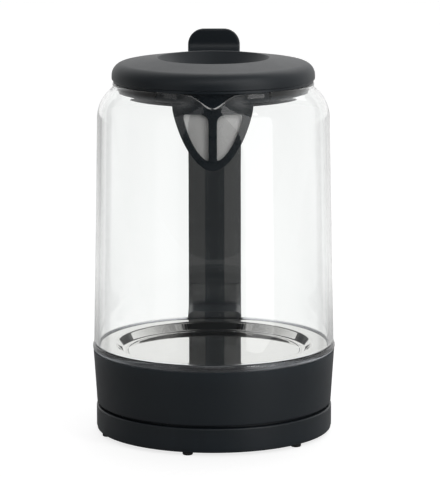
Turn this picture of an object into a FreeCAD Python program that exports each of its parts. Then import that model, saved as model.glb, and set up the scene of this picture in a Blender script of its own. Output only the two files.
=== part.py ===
import FreeCAD, Part
import math
import os

# Cordless glass kettle on its power base. Millimetres, +Z up, spout towards -Y, handle towards +Y.
# The origin is on the jug's axis, on the surface that the feet stand on.

# Clearances
FIT = 0.05
SEAT_GAP = 0.15
SLIP = 0.4
OVERRUN = 1.0

# Screws
SCREW_R = 1.5
SCREW_HEAD_R = 2.9
SCREW_HEAD_H = 1.4
SCREW_L = 9.0
DRIVE_W = 0.8
DRIVE_DEPTH = 0.7
BOSS_WALL = 2.0

# Power base
BASE_R = 75.9
BASE_H = 15.6
BASE_WALL = 2.2
BASE_EDGE_R = 1.0
BASE_PLATE_T = 2.2
BASE_PLATE_STEP = 0.4
BASE_CHAMFER = 0.5
BASE_SCREW_COUNT = 3
BASE_SCREW_CIRCLE_R = 52.0
BASE_SCREW_FIRST_DEG = 60.0
FOOT_H = 2.3
FOOT_R = 3.3
FOOT_SINK = 1.0
FOOT_MARGIN = 0.4
FOOT_COUNT = 6
FOOT_FIRST_DEG = -13.0

# Mains socket in the base and the connector that plugs into it
DOME_R = 17.5
DOME_H = 12.7
DOME_EDGE_R = 1.5
DOME_GAP = 0.8
SOCKET_FLANGE_W = 6.0
SOCKET_FLANGE_T = 2.0
GROOVE_IN_R = 8.7
GROOVE_OUT_R = 13.3
GROOVE_FLOOR_T = 4.0
SPRING_T = 0.8
SHUTTER_H = 14.3
LEAF_W = 5.0
LEAF_T = 0.6
LEAF_H = 16.3
LEAF_POCKET = 1.6
EARTH_PIN_R = 2.9
EARTH_SLEEVE_T = 0.6
CONNECTOR_REACH = 10.0
CORD_BORE_R = 3.2
GLAND_WALL = 0.8
GLAND_RIM_W = 0.5
GLAND_RIM_T = 1.2

# Foot of the jug
COVER_T = 1.7
COVER_INSET = 3.6
WELL_WALL = 1.8
BOTTOM_SCREW_COUNT = 4
BOTTOM_SCREW_INSET = 5.5
BOTTOM_SCREW_FIRST_DEG = 45.0
HOUSING_H = 34.4
HOUSING_STEP = 0.5
HOUSING_TAPER = 2.2
HOUSING_WALL = 2.2
HOUSING_EDGE = 0.5
FLOOR_T = 2.0
FLOOR_W = 13.0
LEDGE_T = 2.5
LEDGE_W = 1.0
RING_H = 4.5
RING_BULGE = 0.9
SEAL_H = 2.8
SEAL_W = 6.4

# Heater
SHEET_T = 1.2
PLATE_GAP = 0.6
PLATE_RIM_W = 9.9
PLATE_STEP = 5.3
SPREADER_INSET = 8.0
SPREADER_T = 3.0
ELEMENT_INSET = 14.0
ELEMENT_R = 3.6
ELEMENT_FLAT = 0.8
ELEMENT_DEG = 300.0
ELEMENT_END_R = 1.6
ELEMENT_END_L = 8.0
CONTROL_R = 26.0
CONTROL_LIFT = 3.0
CONTROL_GAP = 5.0
CONTROL_SCREW_COUNT = 3
CONTROL_SCREW_CIRCLE_R = 21.0
DISC_R = 8.0
DISC_RISE = 1.0
DISC_T = 0.5
DISC_SPACING = 17.0

# Glass
GLASS_R = 77.2
GLASS_TAPER = 3.0
GLASS_WALL = 3.0
GLASS_H = 168.3
SHOULDER_R = 23.0
NECK_FILLET_R = 3.5
SHOULDER_DEG = 52.0
RIM_H = 2.0
SPOUT_TIP_R = 77.0
SPOUT_RISE = 34.0
SPOUT_DROP = 7.3
LIP_BEND = 2.7
SPOUT_HALF_DEG = 21.5
SECTION_POINTS = 72

# Collar and filter
COLLAR_SEAL_T = 1.0
COLLAR_WALL = 3.0
COLLAR_DROP = 7.8
FLANGE_T = 1.4
FLANGE_INSET = 0.3
BAND_HALF = 35.0
FILTER_T = 2.4
SHIELD_HALF = 25.2
SHIELD_H = 41.3
SHIELD_BEND = 1.4
SHIELD_TIP = 0.55
WINDOW_HALF = 18.6
WINDOW_H = 30.0
WINDOW_DROP = 5.6
RIB_W = 5.2
MESH_T = 0.4
MESH_LAP = 2.5

# Lid
LID_OVERHANG = 0.7
LID_H = 14.1
LID_WALL = 2.4
LID_FALL_DEG = 8.2
LID_EDGE_R = 8.0
LID_FOOT = 1.2
LID_BRIM_W = 29.0
DISH_SLOPE_W = 8.2
DISH_DEPTH = 9.4
DISH_CORNER_R = 3.5
CREST_R = 1.6
LINER_T = 2.0
LINER_GAP = 0.4
SKIRT_GAP = 1.6
SKIRT_LEAN = 0.8
SKIRT_WALL = 2.0
SKIRT_H = 11.5
GASKET_H = 2.8
GASKET_DROP = 2.0
LID_SCREW_COUNT = 3
LID_SCREW_MARGIN = 3.7
LID_SCREW_HEAD_H = 1.8

# Thumb tab and lid hinge
TAB_W = 34.0
TAB_RISE = 11.0
TAB_T = 3.6
TAB_LEAN = 1.2
TAB_FOOT_T = 9.6
TAB_FOOT_H = 5.0
TAB_SINK = 3.0
TAB_CORNER_R = 10.5
TAB_EDGE_R = 1.5
HINGE_SETBACK = 6.3
HINGE_RISE = 2.8
HINGE_PIN_R = 1.5
KNUCKLE_R = 4.0
KNUCKLE_HALF = 10.5
EAR_R = 4.5
EAR_T = 3.5
EAR_GAP = 0.5
BRIDGE_L = 20.0
BRIDGE_DEPTH = 2.3

# Handle
HANDLE_W = 37.0
HANDLE_WALL = 3.0
HANDLE_EDGE_R = 4.0
FINGER_GAP = 36.0
GRIP_T = 20.0
GRIP_LEAN = 2.0
GRIP_FACE_R = 60.0
GRIP_COVER_T = 3.5
TOP_ARM_H = 19.0
LOW_ARM_H = 22.0
HANDLE_TOP_RISE = 0.8
INNER_CORNER_R = 12.0
OUTER_CORNER_R = 18.0
ARM_END_L = 14.0
HANDLE_SCREW_SPACING = 20.0
TUBE_R = 3.2
TUBE_WALL = 0.8
TUBE_BEND_R = 13.0

# Switch
SWITCH_LIFT = 16.4
SWITCH_GAP = 2.25
SWITCH_W = 24.0
SWITCH_T = 3.5
SWITCH_REACH = 27.0
SWITCH_PAD_L = 12.0
SWITCH_PAD_DROP = 2.2
SWITCH_DEG = 14.0
SWITCH_SETBACK = 8.0
SWITCH_HUB_R = 3.4
SWITCH_PIN_R = 1.5
SWITCH_EAR_T = 3.0
SWITCH_EAR_R = 4.6
FORK_REACH = 12.5
FORK_HALF = 5.0
FORK_LIP = 1.2
ROCKER_GAP = 4.95
ROCKER_TIP_R = 1.5
ROCKER_NECK_T = 1.6
ROCKER_HALF = 4.0
ROCKER_TAIL = 9.0
CHEEK_T = 2.6

# Heights of the stack, from the surface upwards
PLATE_TOP_Z = FOOT_H + BASE_PLATE_T
BASE_TOP_Z = FOOT_H + BASE_H
BASE_CEILING_Z = BASE_TOP_Z - BASE_WALL
DOME_TOP_Z = BASE_TOP_Z + DOME_H
HOUSING_Z = BASE_TOP_Z + COVER_T
HOUSING_TOP_Z = HOUSING_Z + HOUSING_H
GLASS_Z = HOUSING_TOP_Z + RING_H
RIM_Z = GLASS_Z + GLASS_H
FLANGE_TOP_Z = RIM_Z + FLANGE_T
LID_TOP_Z = FLANGE_TOP_Z + LID_H
DISH_Z = LID_TOP_Z - DISH_DEPTH
LINER_TOP_Z = DISH_Z - LID_WALL
LINER_Z = LINER_TOP_Z - LINER_T
PLATE_RIM_Z = HOUSING_TOP_Z + SEAL_H + SHEET_T
PLATE_Z = PLATE_RIM_Z - PLATE_STEP
SPREADER_TOP_Z = PLATE_Z - SHEET_T
SPREADER_Z = SPREADER_TOP_Z - SPREADER_T
CONTROL_Z = DOME_TOP_Z + CONTROL_LIFT
CONTROL_TOP_Z = SPREADER_Z - CONTROL_GAP
CONTROL_SCREW_L = SPREADER_Z + SPREADER_T / 2 - CONTROL_Z
GROOVE_Z = PLATE_TOP_Z + GROOVE_FLOOR_T
SHUTTER_Z = GROOVE_Z + SPRING_T
SHUTTER_TOP_Z = SHUTTER_Z + SHUTTER_H
SWITCH_Z = HOUSING_Z + SWITCH_LIFT

# Radii that follow from the driving ones
BASE_PLATE_R = BASE_R - BASE_PLATE_STEP
FOOT_CIRCLE_R = BASE_PLATE_R - BASE_CHAMFER - FOOT_MARGIN - FOOT_R
EARTH_BORE_R = EARTH_PIN_R + SLIP + EARTH_SLEEVE_T + FIT
HOUSING_TOP_R = GLASS_R + HOUSING_STEP
HOUSING_LOW_R = HOUSING_TOP_R - HOUSING_TAPER
COVER_R = HOUSING_LOW_R - COVER_INSET
WELL_R = DOME_R + DOME_GAP
FLOOR_R = HOUSING_LOW_R - HOUSING_WALL - FLOOR_W
PLATE_R = GLASS_R - GLASS_WALL - PLATE_GAP
PLATE_RIM_R = PLATE_R - PLATE_RIM_W
PLATE_FLAT_R = PLATE_RIM_R - PLATE_STEP
SEAL_R = PLATE_R - SEAL_W
LEDGE_R = SEAL_R - LEDGE_W
SPREADER_R = PLATE_FLAT_R - SPREADER_INSET
SHOULDER_TOP_R = GLASS_R - GLASS_TAPER
SHOULDER_SIN = math.sin(math.radians(SHOULDER_DEG))
SHOULDER_FALL = 1 - math.cos(math.radians(SHOULDER_DEG))
NECK_R = SHOULDER_TOP_R - (SHOULDER_R + NECK_FILLET_R) * SHOULDER_FALL
NECK_Z = RIM_Z - RIM_H
SHOULDER_Z = NECK_Z - (SHOULDER_R + NECK_FILLET_R) * SHOULDER_SIN
SPOUT_TIP_Z = RIM_Z - SPOUT_DROP
SPOUT_Z = SPOUT_TIP_Z - SPOUT_RISE
COLLAR_R = NECK_R - GLASS_WALL - COLLAR_SEAL_T
COLLAR_IN_R = COLLAR_R - COLLAR_WALL
COLLAR_Z = RIM_Z - COLLAR_DROP
FLANGE_R = NECK_R - FLANGE_INSET
LID_R = NECK_R + LID_OVERHANG
DISH_R = LID_R - LID_BRIM_W
DISH_FLOOR_R = DISH_R - DISH_SLOPE_W
LID_CORNER_Z = LID_TOP_Z - (LID_R - DISH_R) * math.tan(math.radians(LID_FALL_DEG))
LINER_R = LID_R - LID_WALL - LINER_GAP
SKIRT_R = COLLAR_IN_R - SKIRT_GAP
LID_SCREW_CIRCLE_R = SKIRT_R - SKIRT_LEAN - SKIRT_WALL - SCREW_HEAD_R - LID_SCREW_MARGIN
HINGE_Y = NECK_R + HINGE_SETBACK
HINGE_Z = FLANGE_TOP_Z + HINGE_RISE
BRIDGE_HALF = KNUCKLE_HALF + EAR_GAP + EAR_T
BRIDGE_END_Y = NECK_R + BRIDGE_L
GRIP_Y = GLASS_R + FINGER_GAP
HANDLE_BACK_Y = GRIP_Y + GRIP_T
HANDLE_TOP_Z = FLANGE_TOP_Z + HANDLE_TOP_RISE
TOP_ARM_Z = HANDLE_TOP_Z - TOP_ARM_H
LOW_ARM_Z = SWITCH_Z + SWITCH_T / 2 + SWITCH_GAP
LOW_ARM_TOP_Z = LOW_ARM_Z + LOW_ARM_H
TUBE_TOP_Z = TOP_ARM_Z + HANDLE_WALL + SLIP + TUBE_R
TUBE_LOW_Z = LOW_ARM_Z + HANDLE_WALL + SLIP + TUBE_R
TUBE_Y = HANDLE_BACK_Y - HANDLE_WALL - SLIP - TUBE_R - GRIP_LEAN
DOWN = FreeCAD.Vector(0, 0, -1)
UP = FreeCAD.Vector(0, 0, 1)
BACK = FreeCAD.Vector(0, 1, 0)
RIGHT = FreeCAD.Vector(1, 0, 0)


def vec(x, y, z):
    return FreeCAD.Vector(x, y, z)


def around(radius, degrees, z=0.0):
    """A point on a circle about the jug's axis, with the angle from the front towards +X."""
    turn = math.radians(degrees)
    return vec(radius * math.sin(turn), -radius * math.cos(turn), z)


def in_xz(a, b):
    return vec(a, 0, b)


def in_yz(a, b):
    return vec(0, a, b)


def corner_arc(last, spot, following, radius):
    """Start, middle and end of the arc that rounds a corner."""
    to_last = (last - spot).normalize()
    to_next = (following - spot).normalize()
    half = to_last.getAngle(to_next) / 2
    run = radius / math.tan(half)
    middle = spot + (to_last + to_next).normalize() * (radius / math.sin(half) - radius)
    return spot + to_last * run, middle, spot + to_next * run


def outline(points, plane):
    """A closed wire of lines, in which a point's third number rounds its corner."""
    spots = [plane(p[0], p[1]) for p in points]
    corners = []
    for i, spot in enumerate(spots):
        if len(points[i]) > 2:
            corners.append(corner_arc(spots[i - 1], spot, spots[(i + 1) % len(spots)], points[i][2]))
        else:
            corners.append((spot, None, spot))
    edges = []
    for i, (start, middle, end) in enumerate(corners):
        if middle is not None:
            edges.append(Part.Arc(start, middle, end).toShape())
        following = corners[(i + 1) % len(corners)][0]
        edges.append(Part.LineSegment(end, following).toShape())
    return Part.Wire(edges)


def turned(points):
    """A solid of revolution about the jug's axis from an outline of radii and heights."""
    return Part.Face(outline(points, in_xz)).revolve(vec(0, 0, 0), UP, 360)


def side_slab(points, half):
    """A slab of an outline of depths and heights, as wide to the left as to the right."""
    slab = Part.Face(outline(points, in_yz)).extrude(vec(2 * half, 0, 0))
    slab.translate(vec(-half, 0, 0))
    return slab


def front_slab(wire, y_from, y_to):
    """A slab of a wire in the XZ plane, between two depths."""
    slab = Part.Face(wire).extrude(vec(0, y_to - y_from, 0))
    slab.translate(vec(0, y_from, 0))
    return slab


def rod(radius, z_from, z_to, at=FreeCAD.Vector(0, 0, 0)):
    return Part.makeCylinder(radius, z_to - z_from, vec(at.x, at.y, z_from), UP)


def tube(inner, outer, z_from, z_to):
    return rod(outer, z_from, z_to).cut(rod(inner, z_from - OVERRUN, z_to + OVERRUN))


def cross_rod(radius, half, y, z):
    """A rod along X, centred on the middle plane."""
    return Part.makeCylinder(radius, 2 * half, vec(-half, y, z), RIGHT)


def deep_rod(radius, y_from, y_to, x, z):
    """A rod along Y."""
    return Part.makeCylinder(radius, y_to - y_from, vec(x, y_from, z), BACK)


def block(x, y, z):
    """A box from three pairs of limits."""
    return Part.makeBox(x[1] - x[0], y[1] - y[0], z[1] - z[0], vec(x[0], y[0], z[0]))


def placed(shape, at, axis):
    """A copy of a shape that stood on the origin along +Z, put at a point along an axis."""
    copy = shape.copy()
    copy.Placement = FreeCAD.Placement(at, FreeCAD.Rotation(UP, axis))
    return copy


def ring_points(count, radius, z, first=0.0):
    return [around(radius, first + 360.0 * i / count, z) for i in range(count)]


def screw(length=SCREW_L, gap=0.0):
    """A countersunk screw with its head's face on the origin; with a gap, the hole that takes it."""
    cone = Part.makeCone(SCREW_HEAD_R + gap, SCREW_R + gap, SCREW_HEAD_H)
    body = cone.fuse(rod(SCREW_R + gap, 0, length + gap))
    if gap > 0:
        return body
    arm = SCREW_HEAD_R / 2
    slots = block((-arm, arm), (-DRIVE_W / 2, DRIVE_W / 2), (0, DRIVE_DEPTH))
    slots = slots.fuse(block((-DRIVE_W / 2, DRIVE_W / 2), (-arm, arm), (0, DRIVE_DEPTH)))
    return body.cut(slots)


def screws(points, axis):
    return Part.makeCompound([placed(screw(), p, axis) for p in points])


def bored(shape, points, axis):
    """The shape with a countersunk hole at each point."""
    return shape.cut(Part.makeCompound([placed(screw(gap=FIT), p, axis) for p in points]))


def with_bosses(shape, points, axis, length):
    """The shape with a screw boss from each point along an axis."""
    boss_r = SCREW_R + BOSS_WALL
    bosses = [Part.makeCylinder(boss_r, length, p, axis) for p in points]
    return shape.fuse(bosses).removeSplitter()


# Places of the screws, feet and pivots
BASE_SCREWS = ring_points(BASE_SCREW_COUNT, BASE_SCREW_CIRCLE_R, FOOT_H, BASE_SCREW_FIRST_DEG)
FEET = ring_points(FOOT_COUNT, FOOT_CIRCLE_R, 0.0, FOOT_FIRST_DEG)
BOTTOM_SCREW_R = COVER_R - BOTTOM_SCREW_INSET
BOTTOM_SCREWS = ring_points(BOTTOM_SCREW_COUNT, BOTTOM_SCREW_R, BASE_TOP_Z, BOTTOM_SCREW_FIRST_DEG)
CONTROL_SCREWS = ring_points(CONTROL_SCREW_COUNT, CONTROL_SCREW_CIRCLE_R, CONTROL_Z)
LID_SCREWS = ring_points(LID_SCREW_COUNT, LID_SCREW_CIRCLE_R, LINER_Z)


def housing_radius(z):
    """Outer radius of the jug's housing at a height."""
    share = (z - HOUSING_Z) / HOUSING_H
    return HOUSING_LOW_R + HOUSING_TAPER * share


SWITCH_Y = housing_radius(SWITCH_Z) - HOUSING_WALL - SWITCH_SETBACK
ROCKER_Y = CONTROL_R + ROCKER_GAP + ROCKER_TAIL
ROCKER_ARM = SWITCH_Y - FORK_REACH - ROCKER_Y
ARM_SCREW_Z = TUBE_LOW_Z
ARM_SCREW_Y = housing_radius(ARM_SCREW_Z) - HOUSING_WALL - SCREW_HEAD_H
BRIDGE_SCREW_Y = BRIDGE_END_Y - SCREW_HEAD_R - BOSS_WALL


def handle_screw_places():
    """Two points and an axis for each end of the handle."""
    half = HANDLE_SCREW_SPACING / 2
    top = [vec(side * half, BRIDGE_SCREW_Y, FLANGE_TOP_Z) for side in (-1, 1)]
    low = [vec(side * half, ARM_SCREW_Y, ARM_SCREW_Z) for side in (-1, 1)]
    return top, low


# Power base

def gland_z():
    return PLATE_TOP_Z + CORD_BORE_R + GLAND_WALL + GLAND_RIM_W + SEAT_GAP


def gland_body(bore, gap):
    """The cord inlet's barrel and its two rims, or with a gap the hole that takes them."""
    barrel_r = CORD_BORE_R + GLAND_WALL + gap
    rim_r = barrel_r + GLAND_RIM_W
    inside_y = BASE_R - BASE_WALL - GLAND_RIM_T - SEAT_GAP
    outside_y = BASE_R + SEAT_GAP
    end_y = outside_y + GLAND_RIM_T
    z = gland_z()
    body = deep_rod(barrel_r, inside_y - gap, end_y, 0, z)
    body = body.fuse(deep_rod(rim_r, inside_y - gap, inside_y + GLAND_RIM_T - SEAT_GAP, 0, z))
    body = body.fuse(deep_rod(rim_r, outside_y, end_y, 0, z)).removeSplitter()
    if bore:
        body = body.cut(deep_rod(CORD_BORE_R, inside_y - OVERRUN, end_y + OVERRUN, 0, z))
    return body


def base_shell():
    hole_r = DOME_R + SEAT_GAP
    inner_r = BASE_R - BASE_WALL
    shell = turned([(hole_r, BASE_TOP_Z), (BASE_R, BASE_TOP_Z, BASE_EDGE_R), (BASE_R, PLATE_TOP_Z),
                    (inner_r, PLATE_TOP_Z), (inner_r, BASE_CEILING_Z), (hole_r, BASE_CEILING_Z)])
    boss_feet = [vec(p.x, p.y, PLATE_TOP_Z) for p in BASE_SCREWS]
    shell = with_bosses(shell, boss_feet, UP, BASE_CEILING_Z - PLATE_TOP_Z + FIT)
    return bored(shell, BASE_SCREWS, UP).cut(gland_body(False, SEAT_GAP))


def base_plate():
    low_r = BASE_PLATE_R - BASE_CHAMFER
    plate = turned([(0, FOOT_H), (low_r, FOOT_H), (BASE_PLATE_R, FOOT_H + BASE_CHAMFER),
                    (BASE_PLATE_R, PLATE_TOP_Z), (0, PLATE_TOP_Z)])
    pockets = [rod(FOOT_R + SEAT_GAP, FOOT_H - OVERRUN, FOOT_H + FOOT_SINK, p) for p in FEET]
    return bored(plate.cut(Part.makeCompound(pockets)), BASE_SCREWS, UP)


def base_feet():
    return Part.makeCompound([rod(FOOT_R, 0, FOOT_H + FOOT_SINK, p) for p in FEET])


def leaf_places():
    """The two sides on which a leaf contact stands in the socket's groove."""
    return (-1, 1)


def leaf_pocket(side):
    near = GROOVE_OUT_R - SEAT_GAP
    far = GROOVE_OUT_R + LEAF_POCKET
    half = LEAF_W / 2 + SEAT_GAP
    x = sorted((side * near, side * far))
    return block(x, (-half, half), (SHUTTER_Z, DOME_TOP_Z + OVERRUN))


def socket_body():
    low_z = BASE_CEILING_Z - SOCKET_FLANGE_T
    flange_r = DOME_R + SOCKET_FLANGE_W
    body = turned([(EARTH_BORE_R, PLATE_TOP_Z), (DOME_R, PLATE_TOP_Z), (DOME_R, low_z), (flange_r, low_z),
                   (flange_r, BASE_CEILING_Z), (DOME_R, BASE_CEILING_Z), (DOME_R, DOME_TOP_Z, DOME_EDGE_R),
                   (GROOVE_OUT_R, DOME_TOP_Z), (GROOVE_OUT_R, GROOVE_Z), (GROOVE_IN_R, GROOVE_Z),
                   (GROOVE_IN_R, DOME_TOP_Z), (EARTH_BORE_R, DOME_TOP_Z)])
    return body.cut(Part.makeCompound([leaf_pocket(side) for side in leaf_places()]))


def socket_contacts():
    leaves = []
    for side in leaf_places():
        x = sorted((side * (GROOVE_OUT_R + LEAF_POCKET - LEAF_T), side * (GROOVE_OUT_R + LEAF_POCKET)))
        leaves.append(block(x, (-LEAF_W / 2, LEAF_W / 2), (SHUTTER_Z, SHUTTER_Z + LEAF_H)))
    return Part.makeCompound(leaves)


def earth_sleeve():
    inner = EARTH_PIN_R + SLIP
    return tube(inner, inner + EARTH_SLEEVE_T, PLATE_TOP_Z, DOME_TOP_Z - DOME_EDGE_R)


def shutter_spring():
    return tube(GROOVE_IN_R + SLIP, GROOVE_OUT_R - SLIP, GROOVE_Z, SHUTTER_Z)


def socket_shutter():
    return tube(GROOVE_IN_R + SLIP, GROOVE_OUT_R - SLIP, SHUTTER_Z, SHUTTER_TOP_Z)


def cord_gland():
    return gland_body(True, 0.0)


# Foot of the jug

def jug_bottom_cover():
    well_out = WELL_R + WELL_WALL
    cover = turned([(WELL_R, BASE_TOP_Z), (COVER_R, BASE_TOP_Z), (COVER_R, HOUSING_Z), (well_out, HOUSING_Z),
                    (well_out, CONTROL_Z), (WELL_R, CONTROL_Z)])
    return bored(cover, BOTTOM_SCREWS, UP)


def switch_slot():
    """The opening in the back of the housing that the switch swings through."""
    swing = SWITCH_SETBACK + HOUSING_WALL + SLIP
    drop = (swing + SWITCH_T) * math.sin(math.radians(SWITCH_DEG))
    half = SWITCH_W / 2 + SLIP
    low_z = SWITCH_Z - SWITCH_T / 2 - drop - SLIP
    high_z = SWITCH_Z + SWITCH_T / 2 + SLIP
    return block((-half, half), (SWITCH_Y + SWITCH_HUB_R, HOUSING_TOP_R + OVERRUN), (low_z, high_z))


def switch_ears():
    """Two ears on the housing's back wall that carry the switch's pin."""
    near = SWITCH_W / 2 + SLIP
    wall_y = housing_radius(SWITCH_Z) - HOUSING_WALL / 2
    ears = []
    for side in (-1, 1):
        x = sorted((side * near, side * (near + SWITCH_EAR_T)))
        reach_y = math.sqrt(wall_y ** 2 - (near + SWITCH_EAR_T) ** 2)
        ears.append(block(x, (SWITCH_Y, reach_y), (SWITCH_Z - SWITCH_EAR_R, SWITCH_Z + SWITCH_EAR_R)))
        eye = vec(x[0], SWITCH_Y, SWITCH_Z)
        ears.append(Part.makeCylinder(SWITCH_EAR_R, SWITCH_EAR_T, eye, RIGHT))
    return ears


def jug_housing():
    inner_low = HOUSING_LOW_R - HOUSING_WALL
    inner_top = HOUSING_TOP_R - HOUSING_WALL
    housing = turned([(FLOOR_R, HOUSING_Z), (HOUSING_LOW_R - HOUSING_EDGE, HOUSING_Z),
                      (HOUSING_LOW_R, HOUSING_Z + HOUSING_EDGE), (HOUSING_TOP_R, HOUSING_TOP_Z),
                      (LEDGE_R, HOUSING_TOP_Z), (LEDGE_R, HOUSING_TOP_Z - LEDGE_T),
                      (inner_top, HOUSING_TOP_Z - LEDGE_T), (inner_low, HOUSING_Z + FLOOR_T),
                      (FLOOR_R, HOUSING_Z + FLOOR_T)])
    boss_feet = [vec(p.x, p.y, HOUSING_Z) for p in BOTTOM_SCREWS]
    housing = with_bosses(housing, boss_feet, UP, SCREW_L)
    housing = housing.fuse(switch_ears()).removeSplitter()
    top, low = handle_screw_places()
    pin_hole = cross_rod(SWITCH_PIN_R + FIT, SWITCH_W, SWITCH_Y, SWITCH_Z)
    tube_hole = deep_rod(TUBE_R + SLIP, SWITCH_Y, HOUSING_TOP_R + OVERRUN, 0, TUBE_LOW_Z)
    housing = housing.cut(Part.makeCompound([switch_slot(), pin_hole])).cut(tube_hole)
    return bored(bored(housing, BOTTOM_SCREWS, UP), low, BACK)


def clear_ring():
    """The rounded seal under the glass, whose outer side is half round."""
    inner = PLATE_R + SEAT_GAP
    edge = GLASS_R + RING_BULGE - RING_H / 2
    return turned([(inner, HOUSING_TOP_Z), (edge + RING_H / 2, HOUSING_TOP_Z, RING_H / 2 - FIT),
                   (edge + RING_H / 2, GLASS_Z, RING_H / 2 - FIT), (inner, GLASS_Z)])


def plate_seal():
    return tube(SEAL_R, PLATE_R - SHEET_T - FIT, HOUSING_TOP_Z, HOUSING_TOP_Z + SEAL_H)


def heater_plate():
    """Pressed sheet with a flat middle, a sloping step and a rim that is turned down round the seal."""
    slant = SHEET_T * math.tan(math.pi / 8)
    low_z = PLATE_Z - SHEET_T
    under_z = PLATE_RIM_Z - SHEET_T
    edge_z = HOUSING_TOP_Z + SLIP
    inner = PLATE_R - SHEET_T
    return turned([(0, low_z), (PLATE_FLAT_R + slant, low_z), (PLATE_RIM_R + slant, under_z),
                   (inner, under_z), (inner, edge_z), (PLATE_R, edge_z),
                   (PLATE_R, PLATE_RIM_Z, SHEET_T / 2), (PLATE_RIM_R, PLATE_RIM_Z),
                   (PLATE_FLAT_R, PLATE_Z), (0, PLATE_Z)])


def heat_spreader():
    disc = rod(SPREADER_R, SPREADER_Z, SPREADER_TOP_Z)
    tip_z = SPREADER_Z + SPREADER_T / 2 + FIT
    tips = [rod(SCREW_R + FIT, SPREADER_Z - OVERRUN, tip_z, p) for p in CONTROL_SCREWS]
    return disc.cut(Part.makeCompound(tips))


def heating_element():
    """A sheathed ring with its top pressed flat, open at the back, with two cold ends."""
    ring_r = SPREADER_R - ELEMENT_INSET
    z = SPREADER_Z - ELEMENT_R + ELEMENT_FLAT
    start = around(ring_r, -ELEMENT_DEG / 2, z)
    tangent = UP.cross(start).normalize()
    section = Part.Face(Part.Wire(Part.makeCircle(ELEMENT_R, start, tangent)))
    sheath = section.revolve(vec(0, 0, 0), UP, ELEMENT_DEG)
    sheath = sheath.cut(rod(SPREADER_R, SPREADER_Z, SPREADER_TOP_Z))
    ends = []
    for side in (-1, 1):
        at = around(ring_r, side * (ELEMENT_DEG / 2 - math.degrees(ELEMENT_R / ring_r)), z)
        ends.append(rod(ELEMENT_END_R, z - ELEMENT_R - ELEMENT_END_L, z, at))
    return sheath.fuse(ends).removeSplitter()


def disc_places():
    return [vec(side * DISC_SPACING / 2, 0, CONTROL_TOP_Z) for side in (-1, 1)]


def control_body():
    """The thermostat block, with posts to the heat spreader and cheeks for the trip rocker."""
    body = rod(CONTROL_R, CONTROL_Z, CONTROL_TOP_Z)
    post_feet = [vec(p.x, p.y, CONTROL_TOP_Z) for p in CONTROL_SCREWS]
    body = with_bosses(body, post_feet, UP, CONTROL_GAP)
    near = ROCKER_HALF + SLIP
    end_y = ROCKER_Y + ROCKER_TIP_R + SWITCH_PIN_R
    for side in (-1, 1):
        x = sorted((side * near, side * (near + CHEEK_T)))
        body = body.fuse(block(x, (0, end_y), (CONTROL_Z, SWITCH_Z + 2 * SWITCH_PIN_R)))
    pin_hole = cross_rod(SWITCH_PIN_R + FIT, near + CHEEK_T + OVERRUN, ROCKER_Y, SWITCH_Z)
    holes = [placed(screw(CONTROL_SCREW_L, FIT), p, UP) for p in CONTROL_SCREWS]
    return body.cut(pin_hole).removeSplitter().cut(Part.makeCompound(holes))


def control_screws():
    return Part.makeCompound([placed(screw(CONTROL_SCREW_L), p, UP) for p in CONTROL_SCREWS])


def bimetal_discs():
    cone = turned([(0, DISC_RISE), (DISC_R, 0), (DISC_R, DISC_T), (0, DISC_RISE + DISC_T)])
    return Part.makeCompound([placed(cone, p, UP) for p in disc_places()])


def connector_ring():
    return tube(GROOVE_IN_R + SLIP, GROOVE_OUT_R - SLIP, SHUTTER_TOP_Z, CONTROL_Z)


def connector_pin():
    return rod(EARTH_PIN_R, CONTROL_Z - CONNECTOR_REACH, CONTROL_Z)


# Glass

def glass_radius(z):
    """Outer radius of the glass away from the spout: taper, shoulder arc, neck fillet, rim."""
    up = z - SHOULDER_Z
    to_neck = NECK_Z - z
    if up <= 0:
        return SHOULDER_TOP_R - GLASS_TAPER * up / (SHOULDER_Z - GLASS_Z)
    if up <= SHOULDER_R * SHOULDER_SIN:
        return SHOULDER_TOP_R - SHOULDER_R + math.sqrt(SHOULDER_R ** 2 - up ** 2)
    if to_neck >= 0:
        return NECK_R + NECK_FILLET_R - math.sqrt(NECK_FILLET_R ** 2 - to_neck ** 2)
    return NECK_R


def hump(share):
    """A smooth hump, one in the middle and nothing from a share of one outwards."""
    return 0.5 + 0.5 * math.cos(math.pi * min(1.0, abs(share)))


def spout_push(z):
    """How far the glass is pulled forwards at the middle of the spout."""
    share = min(1.0, max(0.0, (z - SPOUT_Z) / SPOUT_RISE))
    root_r = glass_radius(SPOUT_Z)
    front_r = root_r + (SPOUT_TIP_R - root_r) * share ** 2
    return max(0.0, front_r - glass_radius(z)) if share > 0 else 0.0


def wall_radius(degrees, z):
    return glass_radius(z) + spout_push(z) * hump(degrees / SPOUT_HALF_DEG)


def glass_section(z, depth):
    """A closed section of the glass at a height, a depth below its outer face."""
    points = []
    step = GLASS_WALL / 10
    for i in range(SECTION_POINTS):
        degrees = 360.0 * i / SECTION_POINTS
        from_front = min(degrees, 360.0 - degrees)
        slope = (wall_radius(from_front, z + step) - wall_radius(from_front, z - step)) / (2 * step)
        radius = wall_radius(from_front, z) - depth * math.sqrt(1 + slope ** 2)
        points.append(around(radius, degrees, z))
    curve = Part.BSplineCurve()
    curve.interpolate(Points=points, PeriodicFlag=True)
    return Part.Wire(curve.toShape())


def glass_levels():
    """Heights of the sections: few on the plain wall, more where the spout and the neck curve."""
    spans = ((GLASS_Z, SPOUT_Z, 5), (SPOUT_Z, SHOULDER_Z, 5), (SHOULDER_Z, NECK_Z, 9), (NECK_Z, RIM_Z, 1))
    levels = [low + (high - low) * i / count for low, high, count in spans for i in range(count)]
    return levels + [RIM_Z]


def lip(share):
    """The dip of the rim at the spout, a V with a rounded point, from one in the middle to nothing."""
    return hump(share) ** LIP_BEND


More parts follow.
